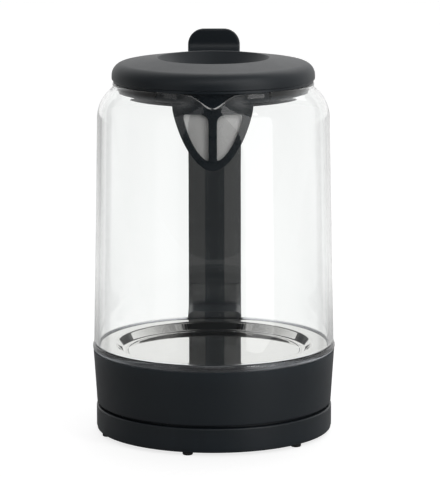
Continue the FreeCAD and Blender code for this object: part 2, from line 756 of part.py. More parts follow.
def spout_notch():
    """What is cut from the rim so that it dips to the spout's lip."""
    half = NECK_R * math.sin(math.radians(SPOUT_HALF_DEG)) + FLANGE_INSET
    above = SPOUT_DROP / 20
    count = 12
    points = []
    for i in range(-count, count + 1):
        dip = (SPOUT_DROP + above) * lip(i / count)
        points.append(vec(half * i / count, 0, RIM_Z + above - dip))
    curve = Part.BSplineCurve()
    curve.interpolate(points)
    top_z = RIM_Z + SPOUT_DROP
    corners = [points[-1], vec(half, 0, top_z), vec(-half, 0, top_z), points[0]]
    lines = [Part.LineSegment(a, b).toShape() for a, b in zip(corners, corners[1:])]
    return front_slab(Part.Wire([curve.toShape()] + lines), -SPOUT_TIP_R - GLASS_WALL, -COLLAR_R / 2)


def glass_jug():
    outer = Part.makeLoft([glass_section(z, 0.0) for z in glass_levels()], True, False)
    levels = [GLASS_Z - OVERRUN] + glass_levels() + [RIM_Z + OVERRUN]
    inner = Part.makeLoft([glass_section(z, GLASS_WALL) for z in levels], True, False)
    return outer.cut(inner).cut(spout_notch())


def jug_envelope(gap):
    """The housing, its seal and the plain glass as one turned body, grown by a gap."""
    ring_r = GLASS_R + RING_BULGE + gap
    points = [(0, HOUSING_Z), (HOUSING_LOW_R + gap, HOUSING_Z), (HOUSING_TOP_R + gap, HOUSING_TOP_Z - gap),
              (ring_r, HOUSING_TOP_Z - gap), (ring_r, GLASS_Z + gap)]
    points += [(glass_radius(z) + gap, z) for z in glass_levels() if z > GLASS_Z + gap]
    return turned(points + [(LID_R + SLIP, RIM_Z), (LID_R + SLIP, LID_TOP_Z), (0, LID_TOP_Z)])


# Collar and filter

def hinge_ears():
    ears = []
    for side in (-1, 1):
        near = KNUCKLE_HALF + EAR_GAP
        x = sorted((side * near, side * (near + EAR_T)))
        ears.append(block(x, (HINGE_Y - EAR_R, HINGE_Y + EAR_R), (RIM_Z, HINGE_Z)))
        ears.append(Part.makeCylinder(EAR_R, EAR_T, vec(x[0], HINGE_Y, HINGE_Z), RIGHT))
    return ears


def bridge(gap):
    """The tongue that crosses the glass rim at the back and lies in the handle's top arm."""
    half = BRIDGE_HALF + gap
    root_y = NECK_R + FLANGE_T + SLIP
    tongue = block((-half, half), (COLLAR_R, BRIDGE_END_Y + gap), (RIM_Z, FLANGE_TOP_Z))
    low_z = RIM_Z - BRIDGE_DEPTH - gap
    return tongue.fuse(block((-half, half), (root_y, BRIDGE_END_Y + gap), (low_z, FLANGE_TOP_Z)))


def collar():
    ring = turned([(COLLAR_IN_R, COLLAR_Z), (COLLAR_R, COLLAR_Z), (COLLAR_R, RIM_Z), (FLANGE_R, RIM_Z),
                   (FLANGE_R, FLANGE_TOP_Z), (COLLAR_IN_R, FLANGE_TOP_Z)])
    half = BAND_HALF + SEAT_GAP
    ring = ring.cut(block((-half, half), (-COLLAR_R - OVERRUN, 0), (COLLAR_Z - OVERRUN, RIM_Z)))
    ring = ring.fuse([bridge(0.0)] + hinge_ears()).removeSplitter()
    knuckle_room = cross_rod(KNUCKLE_R + SLIP, KNUCKLE_HALF + EAR_GAP, HINGE_Y, HINGE_Z)
    pin_hole = cross_rod(HINGE_PIN_R + FIT, BRIDGE_HALF + OVERRUN, HINGE_Y, HINGE_Z)
    top, low = handle_screw_places()
    return bored(ring.cut(knuckle_room).cut(pin_hole), top, DOWN)


def collar_seal():
    """A soft ring between the collar and the neck, open at the front where the spout is."""
    ring = tube(COLLAR_R + FIT, COLLAR_R + COLLAR_SEAL_T - SLIP, NECK_Z - RIM_H, RIM_Z)
    half = BAND_HALF + SEAT_GAP
    return ring.cut(block((-half, half), (-NECK_R, 0), (COLLAR_Z, FLANGE_TOP_Z)))


def shield_wire(half, top_z, height):
    """A shield in the XZ plane: flat top, sides that draw in to a rounded tip."""
    count = 8
    right = []
    for i in range(count + 1):
        fall = 1 - (1 - i / count) ** 2
        width = half * (1 - fall ** SHIELD_BEND) ** SHIELD_TIP
        right.append(vec(width, 0, top_z - height * fall))
    left = [vec(-p.x, 0, p.z) for p in reversed(right[:-1])]
    curve = Part.BSplineCurve()
    curve.interpolate(right + left)
    return Part.Wire([curve.toShape(), Part.LineSegment(left[-1], right[0]).toShape()])


def filter_frame():
    band = tube(COLLAR_IN_R, COLLAR_R, COLLAR_Z, RIM_Z)
    band = band.common(block((-BAND_HALF, BAND_HALF), (-COLLAR_R, 0), (COLLAR_Z, RIM_Z)))
    wall = tube(COLLAR_IN_R, COLLAR_IN_R + FILTER_T, COLLAR_Z - SHIELD_H, RIM_Z)
    shield = wall.common(front_slab(shield_wire(SHIELD_HALF, COLLAR_Z + FIT, SHIELD_H), -NECK_R, 0))
    window = shield_wire(WINDOW_HALF, COLLAR_Z - WINDOW_DROP, WINDOW_H)
    holes = front_slab(window, -NECK_R, 0)
    holes = holes.cut(block((-RIB_W / 2, RIB_W / 2), (-NECK_R, 0), (COLLAR_Z - SHIELD_H, RIM_Z)))
    return band.fuse(shield).cut(holes).removeSplitter()


def filter_mesh():
    outer = COLLAR_IN_R - FIT
    sheet = tube(outer - MESH_T, outer, COLLAR_Z - SHIELD_H, RIM_Z)
    top_z = COLLAR_Z - WINDOW_DROP + MESH_LAP
    patch = shield_wire(WINDOW_HALF + MESH_LAP, top_z, WINDOW_H + 2 * MESH_LAP)
    return sheet.common(front_slab(patch, -NECK_R, 0))


# Lid

def lid_top_z(radius):
    """Height of the lid's upper face outside the dish."""
    return LID_TOP_Z - (radius - DISH_R) * math.tan(math.radians(LID_FALL_DEG))


def tab_outline():
    """Side view of the thumb tab and its foot in the lid."""
    back_y = LID_R + TAB_T
    front_y = back_y - TAB_FOOT_T
    low_z = LID_CORNER_Z - TAB_SINK
    foot_z = lid_top_z(front_y) + FIT
    top_z = LID_TOP_Z + TAB_RISE
    back_top_y = back_y - TAB_LEAN
    return [(front_y, low_z), (front_y, foot_z), (back_y - TAB_T - TAB_LEAN, foot_z + TAB_FOOT_H, TAB_EDGE_R),
            (back_top_y - TAB_T, top_z, TAB_EDGE_R), (back_top_y, top_z, TAB_EDGE_R),
            (back_y, foot_z, TAB_EDGE_R), (back_y, low_z)]


def lid_cover():
    inner_r = LID_R - LID_WALL
    dish_r = DISH_R - CREST_R
    cover = turned([(0, DISH_Z), (DISH_FLOOR_R, DISH_Z, DISH_CORNER_R), (dish_r, LID_TOP_Z, CREST_R),
                    (LID_R, lid_top_z(LID_R), LID_EDGE_R), (LID_R, FLANGE_TOP_Z + LID_FOOT),
                    (LID_R - LID_FOOT, FLANGE_TOP_Z), (inner_r, FLANGE_TOP_Z),
                    (inner_r, lid_top_z(inner_r) - LID_WALL, LID_EDGE_R - LID_WALL),
                    (dish_r + LID_WALL, LID_TOP_Z - LID_WALL, CREST_R),
                    (DISH_FLOOR_R + LID_WALL, LINER_TOP_Z), (0, LINER_TOP_Z)])
    boss_feet = [vec(p.x, p.y, LINER_TOP_Z) for p in LID_SCREWS]
    cover = with_bosses(cover, boss_feet, UP, lid_top_z(LID_SCREW_CIRCLE_R) - LID_WALL / 2 - LINER_TOP_Z)
    cover = cover.cut(side_slab(tab_outline(), TAB_W / 2 + FIT))
    return cover.cut(Part.makeCompound([rod(SCREW_R + FIT, p.z, p.z + SCREW_L, p) for p in LID_SCREWS]))


def lid_liner():
    """A disc under the dish with a skirt that reaches into the collar."""
    low_r = SKIRT_R - SKIRT_LEAN
    low_z = LINER_Z - SKIRT_H
    disc = turned([(0, LINER_Z), (SKIRT_R - SKIRT_WALL, LINER_Z), (low_r - SKIRT_WALL, low_z), (low_r, low_z),
                   (SKIRT_R, LINER_Z), (LINER_R, LINER_Z), (LINER_R, LINER_TOP_Z), (0, LINER_TOP_Z)])
    holes = [rod(SCREW_R + FIT, p.z - OVERRUN, p.z + SCREW_L, p) for p in LID_SCREWS]
    return disc.cut(Part.makeCompound(holes))


def lid_gasket():
    top_z = LINER_Z - GASKET_DROP
    return tube(SKIRT_R + FIT, COLLAR_IN_R - SLIP, top_z - GASKET_H, top_z)


def lid_screws():
    pan = rod(SCREW_HEAD_R, -LID_SCREW_HEAD_H, 0).fuse(rod(SCREW_R, 0, SCREW_L - OVERRUN))
    return Part.makeCompound([placed(pan, p, UP) for p in LID_SCREWS])


def thumb_tab():
    """The tab with rounded upper corners, and the knuckle behind it that turns on the hinge pin."""
    half = TAB_W / 2
    top_z = LID_TOP_Z + TAB_RISE
    corners = [(-half, LINER_Z), (half, LINER_Z), (half, top_z, TAB_CORNER_R), (-half, top_z, TAB_CORNER_R)]
    face = outline(corners, in_xz)
    tab = side_slab(tab_outline(), half).common(front_slab(face, 0, HANDLE_BACK_Y))
    arm_z = (HINGE_Z - KNUCKLE_R / 2, lid_top_z(LID_R))
    arm = block((-KNUCKLE_HALF, KNUCKLE_HALF), (LID_R + SLIP, LID_R + TAB_T), arm_z)
    tab = tab.fuse([arm, cross_rod(KNUCKLE_R, KNUCKLE_HALF, HINGE_Y, HINGE_Z)]).removeSplitter()
    return tab.cut(cross_rod(HINGE_PIN_R + FIT, KNUCKLE_HALF + OVERRUN, HINGE_Y, HINGE_Z))


def hinge_pin():
    return cross_rod(HINGE_PIN_R, BRIDGE_HALF, HINGE_Y, HINGE_Z)


# Handle

def handle_outline():
    """Side view of the handle: top arm, grip and lower arm as one C."""
    root_y = NECK_R
    back_low_y = HANDLE_BACK_Y - GRIP_LEAN
    return [(root_y, HANDLE_TOP_Z), (HANDLE_BACK_Y, HANDLE_TOP_Z, OUTER_CORNER_R),
            (back_low_y, LOW_ARM_Z, OUTER_CORNER_R), (root_y, LOW_ARM_Z), (root_y, LOW_ARM_TOP_Z),
            (GRIP_Y, LOW_ARM_TOP_Z, INNER_CORNER_R), (GRIP_Y, TOP_ARM_Z, INNER_CORNER_R), (root_y, TOP_ARM_Z)]


def cover_limits():
    """Heights between which the grip's cover lies, on the straight of its inner face."""
    return LOW_ARM_TOP_Z + INNER_CORNER_R, TOP_ARM_Z - INNER_CORNER_R


def handle_shell():
    half = HANDLE_W / 2
    body = side_slab(handle_outline(), half)
    long_edges = [e for e in body.Edges if abs(abs(e.CenterOfMass.x) - half) < FIT]
    body = body.makeFillet(HANDLE_EDGE_R, long_edges)
    hollow = Part.Face(outline(handle_outline(), in_yz)).makeOffset2D(-HANDLE_WALL)
    hollow = hollow.extrude(vec(HANDLE_W - 2 * HANDLE_WALL, 0, 0))
    hollow.translate(vec(HANDLE_WALL - half, 0, 0))
    end_y = HOUSING_TOP_R + ARM_END_L
    hollow = hollow.common(block((-half, half), (end_y, HANDLE_BACK_Y), (LOW_ARM_Z, HANDLE_TOP_Z)))
    low_z, high_z = cover_limits()
    seat = block((-half, half), (GRIP_Y - OVERRUN, GRIP_Y + GRIP_COVER_T), (low_z, high_z))
    body = body.cut(hollow).cut(seat).cut(jug_envelope(SLIP)).cut(bridge(SEAT_GAP)).cut(bridge_room())
    bores = [deep_rod(TUBE_R + SLIP, NECK_R, end_y + OVERRUN, 0, z) for z in (TUBE_TOP_Z, TUBE_LOW_Z)]
    top, low = handle_screw_places()
    body = body.cut(bores[0]).cut(bores[1])
    return bored(bored(body, top, DOWN), low, BACK)


def bridge_room():
    """The space above the bridge, in which the lid's hinge works."""
    half = BRIDGE_HALF + SEAT_GAP
    return block((-half, half), (0, BRIDGE_END_Y + SEAT_GAP), (FLANGE_TOP_Z, LID_TOP_Z))


def handle_cover():
    """The grip's inner strip, which bulges towards the jug."""
    half = HANDLE_W / 2
    low_z, high_z = cover_limits()
    strip = block((-half, half), (GRIP_Y, GRIP_Y + GRIP_COVER_T), (low_z, high_z))
    return strip.common(rod(GRIP_FACE_R, low_z, high_z, vec(0, GRIP_Y + GRIP_FACE_R, 0)))


def handle_screws():
    top, low = handle_screw_places()
    return Part.makeCompound([screws(top, DOWN), screws(low, BACK)])


def steam_tube():
    """A tube that runs back through the top arm, down the grip and forwards into the housing."""
    start_y = HOUSING_TOP_R + TUBE_R
    end_y = SWITCH_Y + SWITCH_HUB_R
    corners = [vec(0, start_y, TUBE_TOP_Z), vec(0, TUBE_Y, TUBE_TOP_Z), vec(0, TUBE_Y, TUBE_LOW_Z),
               vec(0, end_y, TUBE_LOW_Z)]
    bend = TUBE_BEND_R
    slack = bend * (1 - math.sqrt(0.5))
    top_arc = Part.Arc(vec(0, TUBE_Y - bend, TUBE_TOP_Z), vec(0, TUBE_Y - slack, TUBE_TOP_Z - slack),
                       vec(0, TUBE_Y, TUBE_TOP_Z - bend))
    low_arc = Part.Arc(vec(0, TUBE_Y, TUBE_LOW_Z + bend), vec(0, TUBE_Y - slack, TUBE_LOW_Z + slack),
                       vec(0, TUBE_Y - bend, TUBE_LOW_Z))
    edges = [Part.LineSegment(corners[0], top_arc.StartPoint), top_arc,
             Part.LineSegment(top_arc.EndPoint, low_arc.StartPoint), low_arc,
             Part.LineSegment(low_arc.EndPoint, corners[3])]
    path = Part.Wire([e.toShape() for e in edges])
    outer = Part.Wire(Part.makeCircle(TUBE_R, corners[0], BACK))
    inner = Part.Wire(Part.makeCircle(TUBE_R - TUBE_WALL, corners[0], BACK))
    return path.makePipeShell([outer], True, False).cut(path.makePipeShell([inner], True, False))


# Switch

def switch_lever():
    """A paddle on a hub, with a fork at its inner end."""
    half_t = SWITCH_T / 2
    tip_y = housing_radius(SWITCH_Z) + SWITCH_REACH
    pad_y = tip_y - SWITCH_PAD_L
    paddle = side_slab([(SWITCH_Y, SWITCH_Z - half_t), (pad_y, SWITCH_Z - half_t),
                        (pad_y + SWITCH_PAD_DROP, SWITCH_Z - half_t - SWITCH_PAD_DROP),
                        (tip_y, SWITCH_Z - half_t - SWITCH_PAD_DROP, half_t),
                        (tip_y, SWITCH_Z + half_t, half_t),
                        (SWITCH_Y, SWITCH_Z + half_t)], SWITCH_W / 2)
    slot_half = ROCKER_TIP_R + SLIP
    fork_y = SWITCH_Y - FORK_REACH
    fork_half_z = slot_half + half_t
    fork = block((-FORK_HALF, FORK_HALF), (fork_y - FORK_LIP, SWITCH_Y),
                 (SWITCH_Z - fork_half_z, SWITCH_Z + fork_half_z))
    slot = block((-FORK_HALF, FORK_HALF), (fork_y - 2 * ROCKER_TIP_R, fork_y + ROCKER_TIP_R + SLIP),
                 (SWITCH_Z - slot_half, SWITCH_Z + slot_half))
    hub = cross_rod(SWITCH_HUB_R, SWITCH_W / 2, SWITCH_Y, SWITCH_Z)
    lever = paddle.fuse([hub, fork.cut(slot)]).removeSplitter()
    return lever.cut(cross_rod(SWITCH_PIN_R + FIT, SWITCH_W, SWITCH_Y, SWITCH_Z))


def switch_pin():
    return cross_rod(SWITCH_PIN_R, SWITCH_W / 2 + SLIP + SWITCH_EAR_T, SWITCH_Y, SWITCH_Z)


def trip_rocker():
    """A small lever whose round tip lies in the switch's fork."""
    hub_r = ROCKER_TIP_R + SWITCH_PIN_R
    tip_y = ROCKER_Y + ROCKER_ARM
    half_t = ROCKER_NECK_T / 2
    blade_z = (SWITCH_Z - half_t, SWITCH_Z + half_t)
    blade = block((-ROCKER_HALF, ROCKER_HALF), (ROCKER_Y - ROCKER_TAIL, tip_y), blade_z)
    rocker = blade.fuse([cross_rod(hub_r, ROCKER_HALF, ROCKER_Y, SWITCH_Z),
                         cross_rod(ROCKER_TIP_R, ROCKER_HALF, tip_y, SWITCH_Z)]).removeSplitter()
    return rocker.cut(cross_rod(SWITCH_PIN_R + FIT, ROCKER_HALF + OVERRUN, ROCKER_Y, SWITCH_Z))


def rocker_pin():
    return cross_rod(SWITCH_PIN_R, ROCKER_HALF + SLIP + CHEEK_T, ROCKER_Y, SWITCH_Z)


def base_screws():
    return screws(BASE_SCREWS, UP)


def bottom_screws():
    return screws(BOTTOM_SCREWS, UP)


PIECES = [
    base_shell, base_plate, base_feet, base_screws, socket_body, socket_contacts, earth_sleeve,
    shutter_spring, cord_gland, socket_shutter, jug_housing, jug_bottom_cover, bottom_screws,
    clear_ring, plate_seal,
    heater_plate, heat_spreader, heating_element, control_body, control_screws, bimetal_discs,
    connector_ring, connector_pin, glass_jug, collar, collar_seal, filter_frame, filter_mesh,
    handle_shell, handle_cover, handle_screws, steam_tube, hinge_pin, switch_pin, rocker_pin,
    lid_cover, lid_liner, lid_gasket, lid_screws, thumb_tab, switch_lever, trip_rocker,
]


def main():
    os.makedirs("parts", exist_ok=True)
    for piece in PIECES:
        piece().exportStep(f"parts/{piece.__name__}.step")


main()
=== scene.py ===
import math

import bmesh
import bpy
import numpy as np
from bpy.props import FloatProperty, FloatVectorProperty, PointerProperty
from mathutils import Matrix, Vector
from mathutils.geometry import delaunay_2d_cdt


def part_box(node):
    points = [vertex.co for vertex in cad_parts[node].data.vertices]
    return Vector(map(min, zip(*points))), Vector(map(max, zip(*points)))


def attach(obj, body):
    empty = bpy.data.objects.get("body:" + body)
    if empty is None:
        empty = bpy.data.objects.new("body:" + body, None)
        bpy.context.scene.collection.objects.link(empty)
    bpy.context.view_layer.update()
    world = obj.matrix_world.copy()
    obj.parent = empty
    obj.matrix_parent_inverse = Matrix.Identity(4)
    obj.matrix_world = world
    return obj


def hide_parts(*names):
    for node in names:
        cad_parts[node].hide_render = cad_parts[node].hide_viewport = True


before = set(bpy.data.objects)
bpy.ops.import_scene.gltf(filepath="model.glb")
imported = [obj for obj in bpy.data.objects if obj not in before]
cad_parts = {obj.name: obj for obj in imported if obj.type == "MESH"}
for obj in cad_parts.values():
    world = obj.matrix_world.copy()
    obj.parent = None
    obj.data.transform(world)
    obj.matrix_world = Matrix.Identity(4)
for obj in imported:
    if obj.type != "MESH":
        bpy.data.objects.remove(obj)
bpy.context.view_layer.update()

bl_info = {
    "name": "Glass kettle",
    "version": (1, 0, 0),
    "blender": (4, 5, 0),
    "location": "View3D > Sidebar > Kettle",
    "description": "Makes the glass, plastic and steel pieces of a cordless kettle around its solids",
    "category": "Object",
}

MM = 0.001
GLASS_LOW, GLASS_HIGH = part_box("glass_jug")
LID_LOW, LID_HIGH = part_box("lid_cover")
TAB_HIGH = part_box("thumb_tab")[1]
RING_LOW, RING_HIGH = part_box("clear_ring")
PLATE_LOW, PLATE_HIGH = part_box("heater_plate")
FRAME_LOW, FRAME_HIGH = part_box("filter_frame")
COLLAR_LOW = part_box("collar")[0]
PIN_LOW, PIN_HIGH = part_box("hinge_pin")
FEET_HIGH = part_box("base_feet")[1]


def length(name, description, default):
    return FloatProperty(name=name, description=description, default=default, unit="LENGTH", precision=5)


def angle(name, description, degrees):
    return FloatProperty(name=name, description=description, default=math.radians(degrees), subtype="ANGLE")


def factor(name, description, default):
    return FloatProperty(name=name, description=description, default=default,
                         min=0, max=1, subtype="FACTOR")


def colour(name, description, default):
    return FloatVectorProperty(name=name, description=description, default=default,
                               min=0, max=1, subtype="COLOR")


class KettleGlass(bpy.types.PropertyGroup):
    """Sizes of the glass jug."""

    wall: length("Wall", "Thickness of the glass", 3.0 * MM)
    taper: length("Taper", "How much narrower the shoulder is than the foot, on each side", 3.0 * MM)
    shoulder: length("Shoulder radius", "Rounding of the shoulder", 23.0 * MM)
    shoulder_turn: angle("Shoulder turn", "How far the shoulder turns in", 52.0)
    neck: length("Neck fillet", "Rounding between shoulder and rim", 3.5 * MM)
    rim: length("Rim height", "Height of the upright rim", 2.0 * MM)
    bead: length("Rim bead", "How far the fire-polished rim swells", 0.2 * MM)
    spout_reach: length("Spout reach", "Distance of the spout's lip from the axis", 77.0 * MM)
    spout_rise: length("Spout rise", "Height over which the spout leaves the wall", 34.0 * MM)
    spout_drop: length("Spout drop", "How far the rim dips at the spout", 7.3 * MM)
    spout_turn: angle("Spout half angle", "Half the angle that the spout takes up", 21.5)


class KettleLid(bpy.types.PropertyGroup):
    """Sizes of the lid and its thumb tab."""

    wall: length("Wall", "Thickness of the lid's shell", 2.4 * MM)
    brim: length("Brim", "Width of the lid around its dish", 29.0 * MM)
    dish_slope: length("Dish slope", "Width of the dish's sloping side", 8.2 * MM)
    dish_depth: length("Dish depth", "Depth of the finger dish", 9.4 * MM)
    fall: angle("Fall", "Slope of the brim towards its edge", 8.2)
    edge: length("Edge radius", "Rounding of the lid's outer edge", 8.0 * MM)
    crest: length("Crest radius", "Rounding of the dish's edge", 1.2 * MM)
    tab_corner: length("Tab corner", "Rounding of the thumb tab's upper corners", 10.5 * MM)
    tab_edge: length("Tab edge", "Rounding of the thumb tab's long edges", 1.4 * MM)
    tab_thickness: length("Tab thickness", "Thickness of the thumb tab", 3.6 * MM)


class KettleFilter(bpy.types.PropertyGroup):
    """Sizes of the spout filter."""

    half: length("Half width", "Half the width of the shield at its top", 25.2 * MM)
    height: length("Height", "Height of the shield under the collar", 41.3 * MM)
    window_half: length("Window half width", "Half the width over both windows", 18.6 * MM)
    window_height: length("Window height", "Height of the windows", 30.0 * MM)
    window_drop: length("Window drop", "Distance of the windows under the collar", 5.6 * MM)
    rib: length("Rib", "Width of the rib between the windows", 5.2 * MM)
    thickness: length("Thickness", "Thickness of the shield", 2.4 * MM)
    pitch: length("Mesh pitch", "Distance between the wires of the mesh", 0.5 * MM)


class KettleFinish(bpy.types.PropertyGroup):
    """Colours and gloss of the kettle's finishes."""

    plastic: colour("Black plastic", "Satin plastic of lid, handle and housing", (0.0080, 0.0125, 0.0170))
    plastic_gloss: factor("Plastic roughness", "Roughness of the satin plastic", 0.48)
    glass: colour("Glass", "Tint of the glass", (0.992, 1.0, 0.996))
    ring: colour("Clear ring", "Tint of the ring under the glass", (0.70, 0.72, 0.75))
    steel: colour("Polished steel", "Colour of the heater plate", (0.88, 0.87, 0.85))
    wire: colour("Filter mesh", "Colour of the fine mesh", (0.88, 0.87, 0.86))
    rubber: colour("Rubber", "Colour of the feet", (0.016, 0.016, 0.017))


class KettleStage(bpy.types.PropertyGroup):
    """Camera and light."""

    distance: length("Camera distance", "Distance of the camera from the jug's axis", 1.945)
    height: length("Camera height", "Height of the camera above the table", 0.4735)
    swing: angle("Camera swing", "Turn of the camera round the kettle", 0.4)
    pitch: angle("Camera pitch", "How far the camera looks down", 10.155)
    aside: angle("Camera aside", "How far the camera looks past the axis to the right", 0.12)
    roll: angle("Camera roll", "How far the camera leans to one side", -0.10)
    lens: FloatProperty(name="Lens", description="Focal length in millimetres", default=232.3)
    floor: colour("Floor", "Colour of the floor", (0.38, 0.38, 0.38))
    glow: factor("Floor glow", "Light that the floor adds towards the camera", 0.78)
    sheen: factor("Floor sheen", "Light that the floor behind the kettle adds to reflections", 0.62)


class Value:
    """A socket of a finish, whose arithmetic adds Math nodes."""

    def __init__(self, finish, socket):
        self.finish = finish
        self.socket = socket

    def maths(self, operation, first, second):
        return self.finish.node("ShaderNodeMath", {"operation": operation}, {0: first, 1: second})

    def __add__(self, other):
        return self.maths("ADD", self, other)

    def __radd__(self, other):
        return self.maths("ADD", other, self)

    def __sub__(self, other):
        return self.maths("SUBTRACT", self, other)

    def __rsub__(self, other):
        return self.maths("SUBTRACT", other, self)

    def __mul__(self, other):
        return self.maths("MULTIPLY", self, other)

    def __rmul__(self, other):
        return self.maths("MULTIPLY", other, self)

    def __lt__(self, other):
        return self.maths("LESS_THAN", self, other)

    def __abs__(self):
        return self.maths("ABSOLUTE", self, 0.0)


class Finish:
    """The nodes of a material or a world."""

    def __init__(self, holder):
        holder.use_nodes = True
        self.holder = holder
        self.tree = holder.node_tree
        self.tree.nodes.clear()

    def node(self, kind, settings=None, inputs=None, output=0):
        """Adds a node, sets it, feeds its sockets and gives one of its outputs."""
        made = self.tree.nodes.new(kind)
        for name, value in (settings or {}).items():
            setattr(made, name, value)
        for key, value in (inputs or {}).items():
            if isinstance(value, Value):
                self.tree.links.new(value.socket, made.inputs[key])
            else:
                made.inputs[key].default_value = value
        return Value(self, made.outputs[output]) if made.outputs else None

    def place(self):
        return self.node("ShaderNodeTexCoord", output="Object")

    def part(self, vector, axis):
        """One of a vector's three values."""
        return self.node("ShaderNodeSeparateXYZ", {}, {0: vector}, output=axis)

    def stretched(self, vector, shares):
        return self.node("ShaderNodeVectorMath", {"operation": "MULTIPLY"}, {0: vector, 1: shares})

    def noise(self, vector, scale, detail=2.0):
        return self.node("ShaderNodeTexNoise", {}, {"Vector": vector, "Scale": scale, "Detail": detail})

    def blend(self, share, first, second):
        """A colour between two colours."""
        tones = {6: (*first, 1.0) if isinstance(first, tuple) else first,
                 7: (*second, 1.0) if isinstance(second, tuple) else second}
        return self.node("ShaderNodeMix", {"data_type": "RGBA"}, {0: share, **tones}, output=2)

    def ramp(self, value, low, high, start=0.0, end=1.0):
        """A value carried smoothly from one range to another."""
        ends = {"From Min": low, "From Max": high, "To Min": start, "To Max": end}
        smooth = {"interpolation_type": "SMOOTHSTEP"}
        return self.node("ShaderNodeMapRange", smooth, {"Value": value, **ends})

    def bump(self, height, strength, distance):
        sockets = {"Strength": strength, "Distance": distance, "Height": height}
        return self.node("ShaderNodeBump", {}, sockets, output="Normal")

    def surface(self, **sockets):
        """Ends the material in a Principled shader; a socket's name is written with underscores."""
        inputs = {name.replace("_", " "): value for name, value in sockets.items()}
        shader = self.node("ShaderNodeBsdfPrincipled", {}, inputs)
        self.node("ShaderNodeOutputMaterial", {}, {"Surface": shader})
        return self.holder


def shade(tone, share):
    return tuple(channel * share for channel in tone)


def finishes():
    return bpy.context.scene.kettle_finish


# Half width of the handle front's middle strip and the blend beyond it; beside the strip the plastic gets a
# painted sheen.
BAND_MIDDLE = 6.4 * MM
BAND_BLEND = 0.8 * MM
# Colours of the painted sheen beside the middle strip, paler than the black plastic as if lit by the lamps.
PAINTED_SHEEN_SIDES = ((0.062, 0.063, 0.065), (0.074, 0.075, 0.077))


def satin_plastic(finish, tone=1.0, rougher=0.0, middle=None):
    """Black moulded plastic with a fine grain and faint flow marks.

    Where a half width of a middle strip is given, what lies beside that strip is painted paler: a painted
    sheen that stands in for lamp light on the slanted faces.
    """
    settings = finishes()
    place = finish.place()
    cloud = finish.noise(place, 22.0, 3.0)
    grain = finish.noise(place, 2400.0, 1.0)
    flow = finish.noise(place, 140.0, 4.0)
    edge = finish.ramp(finish.node("ShaderNodeNewGeometry", output="Pointiness"), 0.53, 0.62)
    base = shade(settings.plastic, tone)
    body = finish.blend(cloud, shade(base, 0.86), shade(base, 1.16))
    if middle:
        # Painted sheen: beside the middle strip, on faces that face the jug, the colour is made paler as if
        # the slanted faces caught the lamps.
        beside = finish.ramp(abs(finish.part(place, "X")), middle, middle + BAND_BLEND)
        outward = finish.node("ShaderNodeTexCoord", output="Normal")
        facing_jug = finish.ramp(finish.part(outward, "Y"), -0.6, -0.2, 1.0, 0.0)
        body = finish.blend(beside * facing_jug, body, finish.blend(cloud, *PAINTED_SHEEN_SIDES))
    # Convex edges found by pointiness are lightened: partly wear, partly a painted highlight of the edge
    # light.
    worn_and_highlit = finish.blend(edge * 0.35, body, shade(base, 2.2))
    rough = settings.plastic_gloss + rougher + (grain - 0.5) * 0.10 + (flow - 0.5) * 0.06 - edge * 0.05
    return finish.surface(Base_Color=worn_and_highlit, Roughness=rough, IOR=1.47,
                          Normal=finish.bump(grain, 0.16, 0.00003))


def clear_glass(finish):
    """Blown glass, all but clear, with faint waves."""
    place = finish.place()
    wave = finish.noise(place, 26.0, 1.0)
    film = finish.noise(place, 60.0, 3.0)
    return finish.surface(Base_Color=(*finishes().glass, 1.0), IOR=1.49, Transmission_Weight=1.0,
                          Roughness=finish.ramp(film, 0.5, 0.9, 0.0, 0.012),
                          Normal=finish.bump(wave, 0.10, 0.0004))


def clear_ring(finish):
    """Translucent silicone with a soft surface."""
    place = finish.place()
    cloud = finish.noise(place, 60.0, 3.0)
    tint = finishes().ring
    body = finish.blend(cloud, shade(tint, 0.85), shade(tint, 1.12))
    return finish.surface(Base_Color=body, Roughness=0.03 + cloud * 0.08, IOR=1.43, Transmission_Weight=1.0,
                          Normal=finish.bump(finish.noise(place, 900.0), 0.1, 0.00004))


def turned_distance(finish):
    """Distance from the jug's axis."""
    flat = finish.stretched(finish.place(), (1.0, 1.0, 0.0))
    return finish.node("ShaderNodeVectorMath", {"operation": "LENGTH"}, {0: flat}, output="Value")


def polished_steel(finish):
    """Stainless sheet, spun and polished, so that faint rings run round the axis."""
    ring = finish.node("ShaderNodeTexNoise", {"noise_dimensions": "1D"},
                       {"W": turned_distance(finish), "Scale": 2600.0, "Detail": 3.0})
    smear = finish.noise(finish.place(), 34.0, 3.0)
    tone = finishes().steel
    body = finish.blend(smear, shade(tone, 0.93), shade(tone, 1.04))
    return finish.surface(Base_Color=body, Metallic=1.0, Roughness=0.02 + ring * 0.03 + smear * 0.02,
                          Normal=finish.bump(ring, 0.05, 0.00002))


def plain_metal(finish, tone, roughness, grain):
    """Bare metal with a rolled grain and dull patches."""
    place = finish.place()
    line = finish.noise(finish.stretched(place, (1.0, 1.0, 9.0)), grain, 3.0)
    patch = finish.noise(place, 90.0, 3.0)
    body = finish.blend(patch, shade(tone, 0.82), shade(tone, 1.08))
    return finish.surface(Base_Color=body, Metallic=1.0, Roughness=roughness + line * 0.16,
                          Normal=finish.bump(line, 0.12, 0.00003))


def soft_rubber(finish, tone, roughness):
    """Rubber or silicone with a dusty bloom."""
    place = finish.place()
    bloom = finish.noise(place, 160.0, 4.0)
    grain = finish.noise(place, 1500.0)
    body = finish.blend(bloom, shade(tone, 0.82), shade(tone, 1.18))
    return finish.surface(Base_Color=body, Roughness=roughness + (bloom - 0.5) * 0.2,
                          Normal=finish.bump(grain, 0.2, 0.00004))


